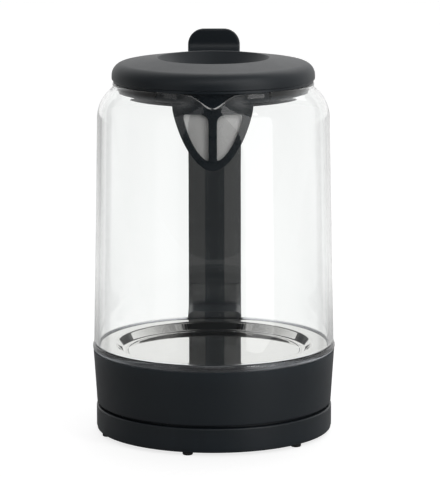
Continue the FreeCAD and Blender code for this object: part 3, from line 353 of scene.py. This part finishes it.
def wire_mesh(finish):
    """A fine plain weave whose holes are open."""
    pitch = bpy.context.scene.kettle_filter.pitch
    weave = finish.stretched(finish.place(), (1.0 / pitch, 1.0, 1.0 / pitch))
    shares = [finish.node("ShaderNodeMath", {"operation": "FRACT"}, {0: finish.part(weave, axis)})
              for axis in ("X", "Z")]
    crowns = [abs(share - 0.5) * 2.0 for share in shares]
    wires = [finish.ramp(crown, 0.36, 0.50) for crown in crowns]
    cover = 1.0 - (1.0 - wires[0]) * (1.0 - wires[1])
    tone = finishes().wire
    body = finish.blend(finish.noise(finish.place(), 220.0, 3.0), shade(tone, 0.9), shade(tone, 1.08))
    return finish.surface(Base_Color=body, Roughness=0.42, Alpha=cover,
                          Normal=finish.bump(crowns[0] * crowns[1], 0.5, 0.0001))


MAKES = {
    "black_plastic": satin_plastic,
    "base_plastic": lambda finish: satin_plastic(finish, tone=0.92, rougher=-0.05),
    "smooth_plastic": lambda finish: satin_plastic(finish, rougher=-0.20),
    # Handle plastic with a painted sheen: the sides of its front are painted paler as if lit by the lamps.
    "sheen_painted_plastic": lambda finish: satin_plastic(finish, middle=BAND_MIDDLE),
    "clear_glass": clear_glass,
    "clear_silicone": clear_ring,
    "polished_steel": polished_steel,
    "fine_mesh": wire_mesh,
    "foot_rubber": lambda finish: soft_rubber(finish, tuple(finishes().rubber), 0.72),
    "white_silicone": lambda finish: soft_rubber(finish, (0.72, 0.72, 0.70), 0.5),
    "grey_plastic": lambda finish: soft_rubber(finish, (0.30, 0.30, 0.31), 0.45),
    "plain_steel": lambda finish: plain_metal(finish, (0.58, 0.58, 0.59), 0.22, 900.0),
    "cast_aluminium": lambda finish: plain_metal(finish, (0.68, 0.68, 0.69), 0.34, 500.0),
    "contact_brass": lambda finish: plain_metal(finish, (0.74, 0.56, 0.26), 0.24, 900.0),
}


def finish_named(name):
    """A finish of the list above, made when it is first asked for."""
    full = name + "_finish"
    return bpy.data.materials.get(full) or MAKES[name](Finish(bpy.data.materials.new(full)))


def dress(finish, *nodes):
    """Gives CAD nodes a finish."""
    for node in nodes:
        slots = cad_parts[node].data.materials
        slots.clear()
        slots.append(finish_named(finish))


def place_piece(name, mesh, finish, body, nodes, sharp=35.0, even=True):
    """Makes a mesh a piece of the kettle, which rides on a body and stands for its CAD nodes."""
    bmesh.ops.recalc_face_normals(mesh, faces=mesh.faces)
    data = bpy.data.meshes.new(name)
    mesh.to_mesh(data)
    mesh.free()
    data.shade_smooth()
    data.set_sharp_from_angle(angle=math.radians(sharp))
    data.materials.append(finish_named(finish))
    piece = bpy.data.objects.new(name, data)
    bpy.context.scene.collection.objects.link(piece)
    if even:
        normals = piece.modifiers.new("even_normals", "WEIGHTED_NORMAL")
        normals.keep_sharp = True
        normals.weight = 80
    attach(piece, body)
    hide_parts(*nodes)
    return piece


def hump(share):
    """A smooth hump, one in the middle and nothing from a share of one outwards."""
    return 0.5 + 0.5 * math.cos(math.pi * min(1.0, abs(share)))


def rounded(corners, steps=6):
    """A closed line through corners (a, b) or (a, b, radius), with an arc at each that has a radius."""
    line = []
    for i, corner in enumerate(corners):
        spot = Vector(corner[:2])
        radius = corner[2] if len(corner) > 2 else 0.0
        if radius <= 0.0:
            line.append(tuple(spot))
            continue
        back = (Vector(corners[i - 1][:2]) - spot).normalized()
        ahead = (Vector(corners[(i + 1) % len(corners)][:2]) - spot).normalized()
        half = back.angle(ahead) / 2
        centre = spot + (back + ahead).normalized() * radius / math.sin(half)
        first = spot + back * radius / math.tan(half) - centre
        last = spot + ahead * radius / math.tan(half) - centre
        sweep = first.angle(last)
        for k in range(steps + 1):
            share = k / steps
            arm = first * math.sin((1 - share) * sweep) + last * math.sin(share * sweep)
            line.append(tuple(centre + arm / math.sin(sweep)))
    return line


def turned(mesh, line, count=160, matrix=None):
    """Adds a closed line of (radius, height), turned about Z or about a matrix's own Z."""
    matrix = matrix or Matrix.Identity(4)
    rings = []
    for radius, height in line:
        if radius < 1e-6:
            rings.append([mesh.verts.new(matrix @ Vector((0, 0, height)))] * count)
            continue
        turns = [2 * math.pi * k / count for k in range(count)]
        rings.append([mesh.verts.new(matrix @ Vector((radius * math.sin(t), -radius * math.cos(t), height)))
                      for t in turns])
    for low, high in zip(rings, rings[1:] + rings[:1]):
        for k in range(count):
            corner = list(dict.fromkeys((low[k - 1], low[k], high[k], high[k - 1])))
            if len(corner) > 2:
                mesh.faces.new(corner)


def loft(mesh, loops, closed=False):
    """Adds faces between loops of points with equal counts; open lofts get end caps."""
    rows = [[mesh.verts.new(point) for point in loop] for loop in loops]
    pairs = list(zip(rows, rows[1:] + rows[:1])) if closed else list(zip(rows, rows[1:]))
    for low, high in pairs:
        for k in range(len(low)):
            mesh.faces.new((low[k - 1], low[k], high[k], high[k - 1]))
    if not closed:
        mesh.faces.new(rows[0])
        mesh.faces.new(rows[-1])


def soften(line, spacing, rounds):
    """A closed line divided evenly and smoothed, so that its corners are rounded."""
    ring = np.vstack([line, line[:1]])
    along = np.concatenate([[0.0], np.cumsum(np.linalg.norm(np.diff(ring, axis=0), axis=1))])
    marks = np.linspace(0.0, along[-1], int(along[-1] / spacing), endpoint=False)
    even = np.stack([np.interp(marks, along, ring[:, i]) for i in (0, 1)], axis=1)
    for _ in range(rounds):
        even = (np.roll(even, 1, 0) + 2 * even + np.roll(even, -1, 0)) / 4
    return even


def within(line, spot):
    """Whether a spot lies inside a closed line."""
    crossed = False
    for (x, z), (other_x, other_z) in zip(line, np.roll(line, -1, 0)):
        if (z > spot.y) != (other_z > spot.y):
            crossed ^= spot.x < x + (other_x - x) * (spot.y - z) / (other_z - z)
    return crossed


def bent_plate(lines, radius, thickness, edge, spacing):
    """A plate between an outer line and its holes in (x, z), with rounded edges, bent round the axis."""
    quarter = [math.pi / 2 * k / 4 for k in range(5)]
    front = [(edge * (1 - math.sin(t)), edge * (1 - math.cos(t))) for t in quarter]
    section = front + [(inset, thickness - depth) for inset, depth in front[::-1]]
    mesh = bmesh.new()

    def bent(x, z, depth):
        turn = math.asin(x / radius)
        return mesh.verts.new(((radius - depth) * math.sin(turn), -(radius - depth) * math.cos(turn), z))

    rims, gaps, edges, faces = [], [], [], ([], [])
    for hole, line in enumerate(lines):
        line = np.asarray(line)
        ahead = np.roll(line, -1, 0)
        run = ahead - np.roll(line, 1, 0)
        area = np.sum(line[:, 0] * ahead[:, 1] - ahead[:, 0] * line[:, 1])
        into = np.stack([-run[:, 1], run[:, 0]], axis=1) / np.linalg.norm(run, axis=1)[:, None]
        into *= math.copysign(1.0, area) * (-1 if hole else 1)
        rows = [[bent(*spot, depth) for spot in line + into * inset] for inset, depth in section]
        for low, high in zip(rows, rows[1:]):
            for k in range(len(line)):
                mesh.faces.new((low[k - 1], low[k], high[k], high[k - 1]))
        first, count = len(rims), len(line)
        edges += [(first + k, first + (k + 1) % count) for k in range(count)]
        rims += [Vector(spot) for spot in line + into * edge]
        gaps += [line + into * edge] if hole else []
        faces[0].extend(rows[0])
        faces[1].extend(rows[-1])
    low, high = np.min(lines[0], axis=0), np.max(lines[0], axis=0)
    marks = [np.arange(low[i] + spacing / 2, high[i], spacing) for i in (0, 1)]
    grid = [Vector((x, z)) for x in marks[0] for z in marks[1]]
    grid = [spot for spot in grid if min((spot - rim).length for rim in rims) > spacing / 2]
    spots, _, flat, sources, *_ = delaunay_2d_cdt(rims + grid, edges, [], 1, 1e-6)
    flat = [face for face in flat
            if not any(within(gap, sum((spots[k] for k in face), Vector((0, 0))) / 3) for gap in gaps)]
    for verts, depth in zip(faces, (0.0, thickness)):
        corners = {}
        for k in {k for face in flat for k in face}:
            source = sources[k][0]
            corners[k] = verts[source] if source < len(verts) else bent(*spots[k], depth)
        for face in flat:
            mesh.faces.new([corners[k] for k in face])
    return mesh


class GlassShape:
    """The outer face of the glass: taper, round shoulder, neck and a spout pulled from the wall."""

    LIP_BEND = 2.7
    FOOT_ROUND = 0.8 * MM
    BEAD_HEIGHT = 1.6 * MM
    INNER_BEAD = 0.4
    STEP_UP = 0.2 * MM
    STEP_ROUND = 0.002

    def __init__(self, sizes):
        self.sizes = sizes
        self.low = GLASS_LOW.z
        self.top = GLASS_HIGH.z
        self.foot = GLASS_HIGH.x
        arc = sizes.shoulder + sizes.neck
        self.shoulder_r = self.foot - sizes.taper
        self.neck_r = self.shoulder_r - arc * (1 - math.cos(sizes.shoulder_turn))
        self.neck_z = self.top - sizes.rim
        self.shoulder_z = self.neck_z - arc * math.sin(sizes.shoulder_turn)
        self.spout_z = self.top - sizes.spout_drop - sizes.spout_rise
        self.lip_half = self.neck_r * math.sin(sizes.spout_turn)

    def plain_radius(self, z):
        """Radius away from the spout: taper, shoulder arc, neck fillet, rim."""
        sizes = self.sizes
        up = z - self.shoulder_z
        left = self.neck_z - z
        if up <= 0:
            return self.shoulder_r - sizes.taper * up / (self.shoulder_z - self.low)
        if up <= sizes.shoulder * math.sin(sizes.shoulder_turn):
            return self.shoulder_r - sizes.shoulder + math.sqrt(sizes.shoulder ** 2 - up ** 2)
        if left >= 0:
            return self.neck_r + sizes.neck - math.sqrt(max(0.0, sizes.neck ** 2 - left ** 2))
        return self.neck_r

    def radius(self, turn, z):
        """Radius at an angle from the middle of the spout."""
        share = min(1.0, max(0.0, (z - self.spout_z) / self.sizes.spout_rise))
        plain = self.plain_radius(z)
        root = self.plain_radius(self.spout_z)
        front = root + (self.sizes.spout_reach - root) * share ** 2
        pull = max(0.0, front - plain) if share > 0 else 0.0
        return plain + pull * hump(turn / self.sizes.spout_turn)

    def dip(self, x):
        """How far the rim dips at a distance from the middle of the spout."""
        return self.sizes.spout_drop * hump(x / self.lip_half) ** self.LIP_BEND

    def rim_z(self, turn):
        """Height of the rim at an angle, settled in a few rounds because it leans on the radius there."""
        z = self.top
        for _ in range(6):
            z = self.top - self.dip(self.radius(turn, z) * math.sin(turn))
        return z if abs(turn) < math.pi / 2 else self.top

    def point(self, turn, z):
        radius = self.radius(turn, z)
        return Vector((radius * math.sin(turn), -radius * math.cos(turn), z))

    def normal(self, turn, z):
        up = self.point(turn, z + self.STEP_UP) - self.point(turn, z - self.STEP_UP)
        around = self.point(turn + self.STEP_ROUND, z) - self.point(turn - self.STEP_ROUND, z)
        return around.cross(up).normalized()

    def heights(self, turn):
        """Heights of the wall's rows at one angle, from the foot to just under the rim."""
        foot = self.low + self.FOOT_ROUND
        close_rows = (foot, foot + 0.3 * MM, foot + 2 * MM)
        ends = (*close_rows, self.spout_z, self.shoulder_z, self.neck_z, self.top)
        spans = zip(ends, ends[1:], (1, 2, 14, 8, 26, 2))
        rows = [low + (high - low) * k / count for low, high, count in spans for k in range(count)]
        rows.append(self.top)
        squeeze = (self.rim_z(turn) - self.sizes.wall / 2 - self.spout_z) / (self.top - self.spout_z)
        return [z if z <= self.spout_z else self.spout_z + (z - self.spout_z) * squeeze for z in rows]

    def column(self, turn):
        """One closed section through the wall: up the outside, over the rim and down the inside."""
        sizes = self.sizes
        rows = self.heights(turn)
        outer, inner = [], []
        for z in rows:
            swell = sizes.bead * max(0.0, 1 - (rows[-1] - z) / self.BEAD_HEIGHT) ** 2
            spot, out = self.point(turn, z), self.normal(turn, z)
            outer.append(spot + out * swell)
            inner.append(spot - out * (sizes.wall + swell * self.INNER_BEAD))
        arcs = []
        for rim, drop, height in ((-1, -2, None), (0, 1, self.FOOT_ROUND)):
            centre = (outer[rim] + inner[rim]) / 2
            half = (outer[rim] - inner[rim]) / 2
            rise = (outer[rim] - outer[drop]).normalized() * (height or half.length)
            turns = [math.pi * k / 10 for k in range(1, 10)]
            arcs.append([centre + half * math.cos(t) + rise * math.sin(t) for t in turns])
        return outer + arcs[0] + inner[::-1] + arcs[1][::-1]


def straight_sight(finish):
    """One for what the camera sees directly or through glass, and nothing for what is reflected."""
    camera = finish.node("ShaderNodeLightPath", output="Is Camera Ray")
    through = finish.node("ShaderNodeLightPath", output="Is Transmission Ray")
    bounces = (finish.node("ShaderNodeLightPath", output="Glossy Depth")
               + finish.node("ShaderNodeLightPath", output="Diffuse Depth"))
    return camera + through * (bounces < 0.5)


class KETTLE_OT_stage(bpy.types.Operator):
    """Make the camera, floor, soft lamps and white surroundings"""

    bl_idname = "kettle.stage"
    bl_label = "Stage"

    PANELS = (
        ("left_panel", (-1.15, -1.15, 0.45), (0.7, 1.4), 1.8),
        ("right_panel", (1.15, -1.15, 0.45), (0.9, 1.4), 8.0),
        ("front_panel", (0.0, -1.7, 1.6), (1.4, 0.8), 6.0),
        ("top_panel", (0.45, 1.0, 1.30), (1.2, 0.8), 3.0),
        ("spot_panel", (0.75, -0.75, 1.25), (0.28, 0.28), 2.6),
    )
    AIM = Vector((0.0, 0.0, 0.12))
    FLOOR_RINGS = (0.25, 0.6, 1.6)
    FLOOR_DEPTH = 0.002
    FLOOR_BACK = 1.25

    def execute(self, context):
        stage = context.scene.kettle_stage
        context.scene.view_settings.view_transform = "Standard"
        self.camera(context, stage)
        self.floor(context, stage)
        for panel in self.PANELS:
            self.lamp(context, *panel)
        self.surroundings(context)
        return {"FINISHED"}

    def camera(self, context, stage):
        data = bpy.data.cameras.new("photo_camera")
        data.lens = stage.lens
        camera = bpy.data.objects.new("photo_camera", data)
        camera.location = (math.sin(stage.swing) * stage.distance, -math.cos(stage.swing) * stage.distance,
                           stage.height)
        sideways = Matrix.Rotation(stage.swing - stage.aside, 3, "Z")
        downwards = Matrix.Rotation(math.pi / 2 - stage.pitch, 3, "X")
        look = sideways @ downwards @ Matrix.Rotation(stage.roll, 3, "Z")
        camera.rotation_euler = look.to_euler()
        context.scene.collection.objects.link(camera)
        context.scene.camera = camera

    def floor(self, context, stage):
        mesh = bmesh.new()
        rings = [(0.0, 0.0)] + [(radius, 0.0) for radius in self.FLOOR_RINGS]
        rings += [(self.FLOOR_RINGS[-1], -self.FLOOR_DEPTH), (0.0, -self.FLOOR_DEPTH)]
        turned(mesh, rings, 96, Matrix.Translation((0.0, self.FLOOR_BACK, 0.0)))
        bmesh.ops.recalc_face_normals(mesh, faces=mesh.faces)
        data = bpy.data.meshes.new("floor")
        mesh.to_mesh(data)
        mesh.free()
        data.materials.append(self.pale_floor(stage))
        floor = bpy.data.objects.new("floor", data)
        context.scene.collection.objects.link(floor)

    def pale_floor(self, stage):
        """A pale floor that looks white to the camera, and pale in reflections of what lies behind."""
        finish = Finish(bpy.data.materials.new("pale_floor"))
        place = finish.place()
        speck = finish.noise(place, 300.0, 3.0)
        depth, side = finish.part(place, "Y"), finish.part(place, "X")
        mirrored = finish.node("ShaderNodeLightPath", output="Is Glossy Ray")
        left, right = finish.ramp(side, -0.75, -0.10, 0.45, 1.0), finish.ramp(side, 0.10, 0.85, 1.0, 0.80)
        sheen = finish.ramp(depth, 0.05, 0.60, 0.0, stage.sheen) * left * right
        sight = straight_sight(finish)
        glow = sight * stage.glow + (1.0 - sight) * mirrored * sheen
        tone = tuple(stage.floor)
        return finish.surface(
            Base_Color=finish.blend(speck, shade(tone, 0.98), shade(tone, 1.02)), Roughness=0.8,
            Emission_Color=finish.blend(glow, (0.0, 0.0, 0.0), (1.0, 1.0, 1.0)), Emission_Strength=1.0)

    def lamp(self, context, name, spot, size, energy):
        data = bpy.data.lights.new(name, "AREA")
        data.shape = "RECTANGLE"
        data.size, data.size_y = size
        data.energy = energy
        lamp = bpy.data.objects.new(name, data)
        lamp.location = spot
        lamp.rotation_euler = (self.AIM - Vector(spot)).to_track_quat("-Z", "Y").to_euler()
        lamp.visible_camera = False
        lamp.visible_transmission = False
        context.scene.collection.objects.link(lamp)

    def surroundings(self, context):
        world = bpy.data.worlds.new("white_studio")
        context.scene.world = world
        finish = Finish(world)
        away = finish.node("ShaderNodeTexCoord", output="Generated")
        side, depth, height = (finish.part(away, axis) for axis in "XYZ")
        behind = finish.ramp(depth, -0.25, 0.75) * finish.ramp(side, -0.9, -0.4, 0.45, 1.0)
        above = finish.ramp(height, 0.1, 0.95)
        beside = finish.ramp(side, 0.3, 0.95, 0.0, 0.25) + finish.ramp(side, -0.3, -0.95, 0.0, 0.05)
        room = 0.06 + behind * 0.92 + (1.0 - behind) * (above * 0.14 + beside)
        sight = straight_sight(finish)
        light = sight + (1.0 - sight) * room
        glow = finish.node("ShaderNodeBackground", {}, {"Color": (1.0, 1.0, 1.0, 1.0), "Strength": light})
        finish.node("ShaderNodeOutputWorld", {}, {"Surface": glow})


class KETTLE_OT_glass(bpy.types.Operator):
    """Make the blown glass jug with its spout"""

    bl_idname = "kettle.glass"
    bl_label = "Glass jug"

    FRONT_DEG = 30
    FRONT_STEP_DEG = 0.75
    WALL_STEP_DEG = 2.5

    def execute(self, context):
        shape = GlassShape(context.scene.kettle_glass)
        front = round(self.FRONT_DEG / self.FRONT_STEP_DEG)
        wall = round((360 - 2 * self.FRONT_DEG) / self.WALL_STEP_DEG)
        turns = [math.radians(k * self.FRONT_STEP_DEG) for k in range(-front, front + 1)]
        turns += [math.radians(self.FRONT_DEG + k * self.WALL_STEP_DEG) for k in range(1, wall)]
        mesh = bmesh.new()
        loft(mesh, [shape.column(turn) for turn in turns], closed=True)
        glass = place_piece("glass_body", mesh, "clear_glass", "jug", ["glass_jug"],
                            sharp=80.0, even=False)
        glass.visible_shadow = False
        return {"FINISHED"}


class KETTLE_OT_foot(bpy.types.Operator):
    """Make the clear ring and the polished heater plate"""

    bl_idname = "kettle.foot"
    bl_label = "Ring and heater plate"

    def execute(self, context):
        self.ring()
        self.plate()
        dress("black_plastic", "jug_housing", "jug_bottom_cover")
        dress("white_silicone", "plate_seal")
        dress("cast_aluminium", "heat_spreader", "heating_element")
        dress("grey_plastic", "control_body")
        dress("contact_brass", "bimetal_discs", "connector_ring", "connector_pin")
        dress("plain_steel", "control_screws", "bottom_screws")
        return {"FINISHED"}

    def ring(self):
        low, high, outer = RING_LOW.z, RING_HIGH.z, RING_HIGH.x
        gap, soft, flat = 0.2 * MM, 0.3 * MM, 0.05 * MM
        inner = PLATE_HIGH.x + gap
        half = (high - low) / 2 - flat
        section = [(inner, low, soft), (outer, low, half), (outer, high, half), (inner, high, soft)]
        mesh = bmesh.new()
        turned(mesh, rounded(section, 10), 200)
        ring = place_piece("clear_ring_bead", mesh, "clear_silicone", "jug",
                           ["clear_ring"], sharp=60.0)
        ring.visible_shadow = False

    def plate(self):
        """The pressed sheet: a flat middle with a fine ring, a sloping step and a turned-down rim."""
        rim_r, rim_z, low = PLATE_HIGH.x, PLATE_HIGH.z, PLATE_LOW.z
        sheet, rim_w, press, lift, fold = 1.2 * MM, 9.9 * MM, 0.45 * MM, 0.4 * MM, 0.2 * MM
        floor = low + sheet
        shelf = rim_r - rim_w
        flat = shelf - (rim_z - floor)
        crest = floor + press
        skirt = RING_LOW.z + lift
        slant = sheet * math.tan(math.pi / 8)
        inner, under = rim_r - sheet, rim_z - sheet
        pressed = [(flat - 3.2 * MM, floor, 0.5 * MM), (flat - 2.7 * MM, crest, 0.4 * MM),
                   (flat - 2.1 * MM, crest, 0.4 * MM), (flat - 1.5 * MM, floor, 0.5 * MM)]
        top = [(flat, floor, 3.2 * MM), (shelf, rim_z, 3.4 * MM), (rim_r, rim_z, 0.8 * MM)]
        edge = [(rim_r, skirt, fold), (inner, skirt, fold), (inner, under, fold)]
        bottom = [(shelf + slant, under, 2.2 * MM), (flat + slant, low, 4.4 * MM), (0.0, low)]
        mesh = bmesh.new()
        turned(mesh, rounded([(0.0, floor)] + pressed + top + edge + bottom, 10), 200)
        place_piece("heater_sheet", mesh, "polished_steel", "jug", ["heater_plate"],
                    sharp=60.0)


class KETTLE_OT_collar(bpy.types.Operator):
    """Make the spout filter with its mesh, and finish the collar"""

    bl_idname = "kettle.collar"
    bl_label = "Collar and filter"

    def execute(self, context):
        sizes = context.scene.kettle_filter
        self.frame(sizes)
        self.weave(sizes)
        dress("black_plastic", "collar")
        dress("foot_rubber", "collar_seal")
        dress("plain_steel", "hinge_pin")
        return {"FINISHED"}

    def frame(self, sizes):
        """The shield and the band over it, bent round the axis, with two windows."""
        top, band, band_z = COLLAR_LOW.z, FRAME_HIGH.x, FRAME_HIGH.z
        inset, edge, spacing, line_step = 0.3 * MM, 0.6 * MM, 1.6 * MM, 0.6 * MM
        right = [(band, band_z), (band, top)] + self.shield(sizes.half, top, sizes.height)
        lines = [soften(right + [(-x, z) for x, z in right[-2::-1]], line_step, 4)]
        lines += [self.window(sizes, top, hand) for hand in (1, -1)]
        mesh = bent_plate(lines, -FRAME_LOW.y - inset, sizes.thickness, edge, spacing)
        place_piece("filter_shield", mesh, "smooth_plastic", "jug", ["filter_frame"],
                    sharp=40.0)

    def weave(self, sizes):
        """The mesh behind the windows, a little larger than they are."""
        lap, inset, thickness = 2.4 * MM, 3.05 * MM, 0.25 * MM
        head = COLLAR_LOW.z - sizes.window_drop + lap
        half = self.shield(sizes.window_half + lap, head, sizes.window_height + 2 * lap)
        radius = -FRAME_LOW.y - inset
        mesh = bmesh.new()
        loft(mesh, [self.weave_row(reach, z, radius, thickness) for reach, z in half[:-1]])
        place_piece("filter_weave", mesh, "fine_mesh", "jug", ["filter_mesh"], sharp=40.0)

    def shield(self, half, top, height):
        """The right side of a shield, from its top corner down to its tip."""
        count = 28
        falls = [1 - (1 - k / count) ** 2 for k in range(count + 1)]
        return [(half * (1 - fall ** 1.4) ** 0.55, top - height * fall) for fall in falls]

    def weave_row(self, reach, z, radius, thickness):
        """One row of the bent mesh, out along its front and back along its rear."""
        half_count = 20
        across = [reach * (k / half_count - 1) for k in range(2 * half_count + 1)]
        rows = [[(x, -math.sqrt(r ** 2 - x ** 2), z) for x in across] for r in (radius, radius - thickness)]
        return rows[0] + rows[1][::-1]

    def window(self, sizes, top, hand):
        """One window, with a wide corner at the rib's head."""
        head = top - sizes.window_drop
        rib = sizes.rib / 2
        tip_w, tip_drop, rib_round, side_round, line_step = 1.2 * MM, 0.6 * MM, 4.6 * MM, 1.7 * MM, 0.4 * MM
        side = self.shield(sizes.window_half, head, sizes.window_height)
        curve = [spot for spot in side[1:] if spot[0] > rib + tip_w]
        tip = (rib, curve[-1][1] - tip_drop)
        corners = [tip, (rib, head, rib_round), (*side[0], side_round)] + curve
        return [(hand * x, z) for x, z in soften(rounded(corners, 8), line_step, 14)]


class KETTLE_OT_lid(bpy.types.Operator):
    """Make the dished lid and its thumb tab"""

    bl_idname = "kettle.lid"
    bl_label = "Lid and thumb tab"

    def execute(self, context):
        sizes = context.scene.kettle_lid
        self.cover(sizes)
        self.tab(sizes)
        dress("black_plastic", "lid_liner")
        dress("white_silicone", "lid_gasket")
        dress("plain_steel", "lid_screws")
        return {"FINISHED"}

    def brim_z(self, sizes, radius):
        """Height of the brim's slope at a distance from the axis."""
        return LID_HIGH.z - (radius - (LID_HIGH.x - sizes.brim)) * math.tan(sizes.fall)

    def cover(self, sizes):
        outer, top, low, wall = LID_HIGH.x, LID_HIGH.z, LID_LOW.z, sizes.wall
        dish = outer - sizes.brim
        floor_r = outer - sizes.brim - sizes.dish_slope
        floor_z = top - sizes.dish_depth
        inner = outer - wall
        floor_round, hem_round, hem_inner_round = 3.5 * MM, 0.9 * MM, 0.3 * MM
        outside = [(0.0, floor_z), (floor_r, floor_z, floor_round), (dish, top, sizes.crest),
                   (outer, self.brim_z(sizes, outer), sizes.edge), (outer, low, hem_round)]
        inside = [(inner, low, hem_inner_round),
                  (inner, self.brim_z(sizes, inner) - wall, sizes.edge - wall),
                  (dish + wall, top - wall, sizes.crest), (floor_r + wall, floor_z - wall),
                  (0.0, floor_z - wall)]
        mesh = bmesh.new()
        turned(mesh, rounded(outside + inside, 10), 200)
        place_piece("lid_shell", mesh, "black_plastic", "lid", ["lid_cover"], sharp=50.0)

    def tab(self, sizes):
        """The thumb tab, with the knuckle that turns on the hinge pin and the web between them."""
        back = LID_HIGH.x + sizes.tab_thickness
        mesh = bmesh.new()
        loft(mesh, self.tab_loops(sizes, back))
        across = Matrix.Translation((PIN_LOW + PIN_HIGH) / 2) @ Matrix.Rotation(math.pi / 2, 4, "Y")
        reach, bore, barrel, soft = 10.5 * MM, 1.55 * MM, 4.0 * MM, 0.5 * MM
        knuckle = [(bore, -reach), (barrel, -reach, soft), (barrel, reach, soft), (bore, reach)]
        turned(mesh, rounded(knuckle), 48, across)
        front, rear, web_round, rise = LID_HIGH.x + 0.5 * MM, back - 0.2 * MM, 0.6 * MM, 0.4 * MM
        ends = across.translation.z - barrel / 2, self.brim_z(sizes, LID_HIGH.x) + rise
        loft(mesh, [self.loop(reach, front, rear, z, web_round) for z in ends])
        place_piece("lid_tab", mesh, "black_plastic", "lid", ["thumb_tab"], sharp=40.0)

    def tab_loops(self, sizes, back):
        """Sections of the tab from its flared foot on the brim up to its rounded top."""
        half, top = TAB_HIGH.x, TAB_HIGH.z
        foot_w, sink = 9.6 * MM, 1.5 * MM
        lean, flare_height, flare_depth, least = 1.2 * MM, 7.5 * MM, 6.0 * MM, 0.01 * MM
        edge, corner, count = sizes.tab_edge, sizes.tab_corner, 36
        foot = self.brim_z(sizes, back - foot_w) - sink
        loops = []
        for k in range(count + 1):
            z = foot + (top - foot) * (1 - (1 - k / count) ** 1.6)
            flare = max(0.0, 1 - (z - foot) / flare_height) ** 2.4 * flare_depth
            rear = back - lean * (z - foot) / (top - foot)
            front = rear - sizes.tab_thickness - flare
            width = min(half, half - self.round_off(corner, top - z) + flare * 0.12)
            inset = self.round_off(edge, top - z)
            radius = min(edge, (rear - front) / 2 - inset - least)
            loops.append(self.loop(width, front + inset, rear - inset, z, radius))
        return loops

    def round_off(self, radius, below):
        """How far a rounded corner has drawn in at a distance below its top."""
        into = max(0.0, radius - below)
        return radius - math.sqrt(max(0.0, radius ** 2 - into ** 2))

    def loop(self, half, front, rear, z, radius):
        """A rounded rectangle at a height."""
        corners = [(x, y, radius) for x, y in ((-half, front), (half, front), (half, rear), (-half, rear))]
        return [(x, y, z) for x, y in rounded(corners, 6)]


class KETTLE_OT_handle(bpy.types.Operator):
    """Make the handle's faceted front, and finish the handle and the switch"""

    bl_idname = "kettle.handle"
    bl_label = "Handle and switch"

    def execute(self, context):
        self.front()
        dress("sheen_painted_plastic", "handle_shell")
        dress("black_plastic", "switch_lever")
        dress("plain_steel", "handle_screws", "switch_pin", "rocker_pin")
        dress("white_silicone", "steam_tube")
        dress("grey_plastic", "trip_rocker")
        return {"FINISHED"}

    def front(self):
        """The strip that closes the handle, with a flat middle and a slanted face on each side."""
        low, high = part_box("handle_cover")
        middle, depth, edge, soft = 6.8 * MM, 3.2 * MM, 1.2 * MM, 0.3 * MM
        section = rounded([(low.x, high.y), (low.x, low.y + depth, soft), (-middle, low.y, edge),
                           (middle, low.y, edge), (high.x, low.y + depth, soft), (high.x, high.y)])
        mesh = bmesh.new()
        loft(mesh, [[(x, y, z) for x, y in section] for z in np.linspace(low.z, high.z, 13)])
        place_piece("handle_front", mesh, "sheen_painted_plastic", "jug", ["handle_cover"],
                    sharp=40.0)


class KETTLE_OT_power_base(bpy.types.Operator):
    """Make the rubber feet, and finish the power base and its socket"""

    bl_idname = "kettle.power_base"
    bl_label = "Power base"

    def execute(self, context):
        self.feet()
        dress("base_plastic", "base_shell", "base_plate", "socket_body", "cord_gland", "socket_shutter")
        dress("contact_brass", "socket_contacts", "earth_sleeve")
        dress("plain_steel", "base_screws", "shutter_spring")
        return {"FINISHED"}

    def feet(self):
        """Six soft feet on a ring, each with a rounded sole."""
        count, first_deg, radius, ring, sole_round = 6, -13.0, 3.3 * MM, 71.3 * MM, 0.9 * MM
        top = FEET_HIGH.z
        sole = rounded([(0.0, 0.0), (radius, 0.0, sole_round), (radius, top), (0.0, top)])
        mesh = bmesh.new()
        for k in range(count):
            turn = math.radians(first_deg + 360.0 * k / count)
            spot = Matrix.Translation((ring * math.sin(turn), -ring * math.cos(turn), 0.0))
            turned(mesh, sole, 32, spot)
        place_piece("rubber_feet", mesh, "foot_rubber", "power_base", ["base_feet"],
                    sharp=50.0)


MAKERS = (
    KETTLE_OT_stage,
    KETTLE_OT_power_base,
    KETTLE_OT_foot,
    KETTLE_OT_glass,
    KETTLE_OT_collar,
    KETTLE_OT_lid,
    KETTLE_OT_handle,
)

GROUPS = {
    "kettle_glass": KettleGlass,
    "kettle_lid": KettleLid,
    "kettle_filter": KettleFilter,
    "kettle_finish": KettleFinish,
    "kettle_stage": KettleStage,
}


class KETTLE_PT_panel(bpy.types.Panel):
    """Lists the kettle's sizes, colours and pieces"""

    bl_label = "Glass kettle"
    bl_idname = "KETTLE_PT_panel"
    bl_space_type = "VIEW_3D"
    bl_region_type = "UI"
    bl_category = "Kettle"

    def draw(self, context):
        for maker in MAKERS:
            self.layout.operator(maker.bl_idname)
        for name, group in GROUPS.items():
            box = self.layout.box()
            for setting in group.__annotations__:
                box.prop(getattr(context.scene, name), setting)


def register():
    for kind in (*GROUPS.values(), *MAKERS, KETTLE_PT_panel):
        bpy.utils.register_class(kind)
    for name, group in GROUPS.items():
        setattr(bpy.types.Scene, name, PointerProperty(type=group))


def unregister():
    for name in GROUPS:
        delattr(bpy.types.Scene, name)
    for kind in reversed((*GROUPS.values(), *MAKERS, KETTLE_PT_panel)):
        bpy.utils.unregister_class(kind)


def main():
    register()
    for maker in MAKERS:
        group, name = maker.bl_idname.split(".")
        getattr(getattr(bpy.ops, group), name)()


if __name__ == "__main__":
    main()
